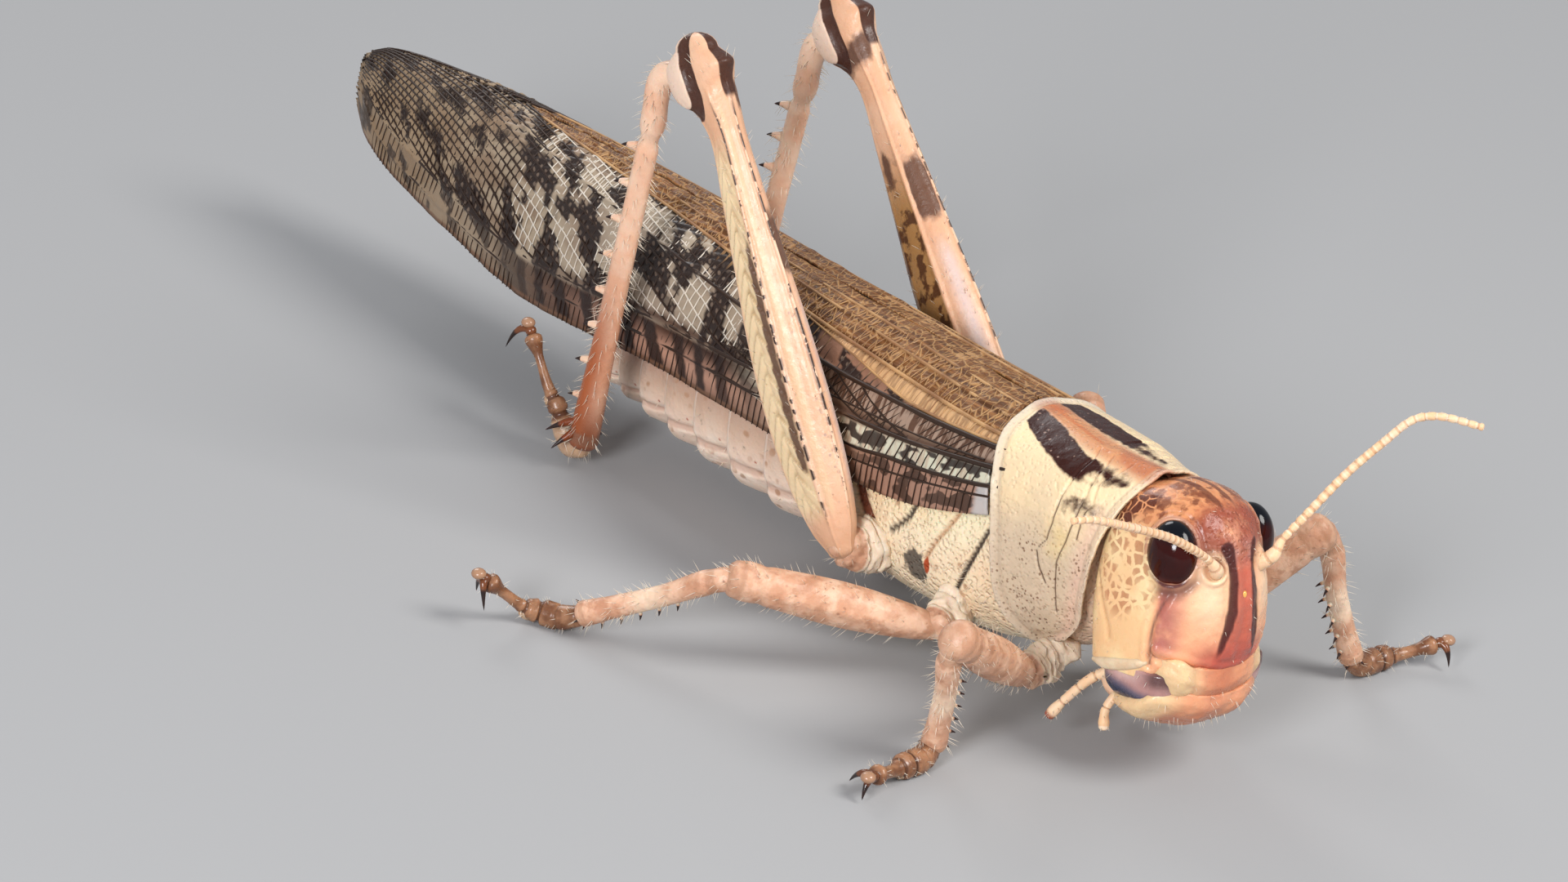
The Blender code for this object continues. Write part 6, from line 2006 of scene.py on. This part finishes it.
# ---- Fine hairs ----

HAIR_THICKNESS = 0.019
# Each hair's patch of the bake map, as a share of the map.
BAKE_PATCH = 0.0015
# Hairs to the square millimetre and their length, on a hind leg and then on a small one.
THIGH_HAIRS = ((0.7, 0.45), (1.8, 0.6))
SHIN_HAIRS = ((4.2, 0.62), (4.2, 0.6))
# Other hairs: which piece, lie, hairs to the square millimetre, length, lean.
MOUTH_HAIRS = (
    ("labrum_plate", (0, -0.2, -1), 1.6, 0.4, 0.8),
    ("clypeus_plate", (0, -0.2, -1), 0.5, 0.25, 0.8), ("labium_plate", (0, 0, -1), 1.6, 0.55, 0.6),
)
BODY_HAIRS = (
    ("trunk_skin", (0, 0.8, -0.5), 1.5, 0.42, 0.7), ("head_capsule", (0, 0, -1), 0.35, 0.18, 0.8),
)


def hair_recipe():
    """Fine tapering hairs rooted on a skin, leaning along a lie.

    Each has its own small patch of the bake map.
    """
    recipe = Recipe("fine_hairs", (
        ("Finish", "Material", None), ("Per square metre", "Float", 1.0e6),
        ("Length", "Float", 0.5 * MM), ("Thickness", "Float", 0.02 * MM),
        ("Lie", "Vector", (0.0, 0.0, -1.0)), ("Lean", "Float", 0.6),
        ("Tousle", "Float", 0.25), ("Seed", "Int", 1),
    ))
    node, given = recipe.node, recipe.given
    amount = recipe.maths("MULTIPLY", recipe.stored("hairy", "FLOAT"), given("Per square metre"))
    roots = node("GeometryNodeDistributePointsOnFaces",
                 {"Mesh": recipe.start.outputs[0], "Density": amount, "Seed": given("Seed")})
    kept = recipe.store(roots.outputs["Points"], "home", recipe.stored("lay"))
    jitter = node("FunctionNodeRandomValue",
                  {"Min": (-1, -1, -1), "Max": (1, 1, 1), "Seed": given("Seed")},
                  data_type="FLOAT_VECTOR")
    loose = recipe.scaled(jitter, given("Tousle"))
    lying = recipe.scaled(given("Lie"), given("Lean"))
    aim = recipe.added(recipe.added(lying, loose), roots.outputs["Normal"])
    turn = node("FunctionNodeAlignRotationToVector", {"Vector": aim}, axis="Z")
    size = node("FunctionNodeRandomValue", {2: 0.55, 3: 1.15, "Seed": given("Seed")},
                data_type="FLOAT")
    long = recipe.maths("MULTIPLY", size.outputs[1], given("Length"))
    scale = node("ShaderNodeCombineXYZ", {0: given("Thickness"), 1: given("Thickness"), 2: long})
    sizes = {"Vertices": 3, "Side Segments": 2, "Radius Top": 0.12, "Radius Bottom": 1.0,
             "Depth": 1.0}
    cone = node("GeometryNodeMeshCone", sizes, fill_type="TRIANGLE_FAN")
    place = node("ShaderNodeSeparateXYZ", {0: node("GeometryNodeInputPosition")})
    patch = node("ShaderNodeCombineXYZ", {0: place.outputs[2], 1: place.outputs[0]})
    marked = recipe.store(cone.outputs["Mesh"], "patch", patch)
    hairs = node("GeometryNodeInstanceOnPoints",
                 {"Points": kept, "Instance": marked, "Rotation": turn, "Scale": scale})
    solid = node("GeometryNodeRealizeInstances", {0: hairs})
    spot = recipe.added(recipe.stored("home"), recipe.scaled(recipe.stored("patch"), BAKE_PATCH))
    return recipe.close(recipe.store(solid, "OFBake", spot, "FLOAT2", "CORNER"))


def belly_share(mesh):
    """Where the trunk is hairy: the sides of the chest, and a little over the underside."""
    places = np.empty(len(mesh.vertices) * 3, np.float32)
    mesh.vertices.foreach_get("co", places)
    y, z = places.reshape(-1, 3)[:, 1:].T / MM
    flank = fall(z, 5.0, 7.5) * fall(y, -10.0, -6.0) * step(y, -24.5, -22.0)
    return flank + 0.1 * fall(z, 6.0, 8.0)


def make_coat(hosts):
    """Hairs over the legs, the mouth, the feelers and the underside."""
    down = Finish("fine_hair").base((0.86, 0.74, 0.58)).done(0.4, 0.05, under=0.2)
    recipe = hair_recipe()
    plan = []
    for name, ((femur, thigh), (tibia, shin)) in hosts.items():
        small = name[0] != "h"
        plan += [
            (femur.name, thigh, *THIGH_HAIRS[small], 0.8),
            (tibia.name, shin, *SHIN_HAIRS[small], 0.6),
            ("foot_" + name, shin * 0.2, 4.0, 0.35, 0.5),
            ("hip_" + name, (0, 0.2, -1), 1.2, 0.5, 0.5),
        ]
    plan += MOUTH_HAIRS
    for side, word in SIDES:
        plan.append(("mandible_horn_" + word, (0, 0, -1), 1.0, 0.38, 0.6))
        plan.append(("feeler_" + word, (side, -0.2, 0.3), 9.0, 0.1, 1.0))
    plan += [(name + "_skin", (0, 0, -1), 7.0, 0.22, 0.7) for name in PALPS]
    plan += BODY_HAIRS
    for seed, (name, lie, amount, length, lean) in enumerate(plan, 4):
        host = bpy.data.objects[name]
        mesh = host.data.copy()
        mark(mesh, "hairy",
             belly_share(mesh) if name == "trunk_skin" else np.ones(len(mesh.vertices)))
        recipe.make("hairs_" + name, mesh, down, slot=host.get("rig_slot"),
                    Per_square_metre=amount * 1e6, Length=length * MM, Lean=lean, Seed=seed,
                    Thickness=HAIR_THICKNESS * MM, Lie=[float(v) for v in lie])
        bpy.data.meshes.remove(mesh)


# ---- Ground, light and camera ----
# Lengths here are in metres, unless a comment says millimetres.

GROUND_HALF = 1.6
ROOM_COLOUR = (0.86, 0.88, 0.92, 1)
ROOM_STRENGTH = 0.45
# Round lamps: name, place, target, size, power in watts, colour.
LAMPS = (
    ("main_softbox", (0.1, -0.26, 0.32), (0, 0, 0.01), 0.2, 1.34, (1.0, 0.98, 0.95)),
    ("side_softbox", (-0.33, -0.16, 0.17), (0, 0, 0.01), 0.12, 1.24, (0.98, 0.98, 1.0)),
    ("back_softbox", (0.1, 0.36, 0.26), (0, 0.01, 0.01), 0.2, 0.5, (1, 1, 1)),
)
# The camera, in millimetres: focal length, sensor, its three axes, its place from the neck.
FOCAL_LENGTH = 124.83
SENSOR_WIDTH = 36.0
CAMERA_RIGHT = (0.76438535, -0.63468775, 0.11351872)
CAMERA_UP = (0.19256806, 0.39275761, 0.89925469)
CAMERA_BACK = (-0.61533128, -0.66551703, 0.42243875)
CAMERA_PLACE = (-164.271, -151.829, 116.642)


def make_ground():
    cloth = Finish("pale_ground").base((0.362, 0.365, 0.372)).done(0.9, 0.0, gloss=0.2, under=0.0)
    mesh = bpy.data.meshes.new("ground")
    corners = [(x * GROUND_HALF, y * GROUND_HALF, 0)
               for x, y in ((-1, -1), (1, -1), (1, 1), (-1, 1))]
    mesh.from_pydata(corners, [], [(0, 1, 2, 3)])
    mesh.materials.append(cloth)
    ground = bpy.data.objects.new("ground", mesh)
    bpy.context.scene.collection.objects.link(ground)


def make_lamp(name, place, target, size, power, colour):
    light = bpy.data.lights.new(name, "AREA")
    light.shape = "DISK"
    light.size = size
    light.energy = power
    light.color = colour
    stand = bpy.data.objects.new(name, light)
    stand.location = place
    stand.rotation_euler = (Vector(target) - Vector(place)).to_track_quat("-Z", "Y").to_euler()
    bpy.context.scene.collection.objects.link(stand)


def make_light():
    bpy.context.scene.view_settings.view_transform = "Standard"
    world = bpy.data.worlds.new("room")
    bpy.context.scene.world = world
    world.use_nodes = True
    back = world.node_tree.nodes["Background"]
    back.inputs["Color"].default_value = ROOM_COLOUR
    back.inputs["Strength"].default_value = ROOM_STRENGTH
    for row in LAMPS:
        make_lamp(*row)


def make_camera():
    lens = bpy.data.cameras.new("viewpoint")
    lens.lens = FOCAL_LENGTH
    lens.sensor_width = SENSOR_WIDTH
    lens.clip_start = 0.01
    lens.clip_end = 10.0
    eye = bpy.data.objects.new("viewpoint", lens)
    place = (np.array(CAMERA_PLACE) + np.array(NECK_PLACE)) * MM
    axes = zip(CAMERA_RIGHT, CAMERA_UP, CAMERA_BACK)
    eye.matrix_world = Matrix([[*row, at] for row, at in zip(axes, place)] + [[0, 0, 0, 1]])
    bpy.context.scene.collection.objects.link(eye)
    bpy.context.scene.camera = eye


make_trunk()
make_pronotum()
make_head()
make_eyes()
make_mouth()
make_feelers()
leg_skins = make_legs()
make_wings()
make_coat(leg_skins)
make_ground()
make_light()
make_camera()
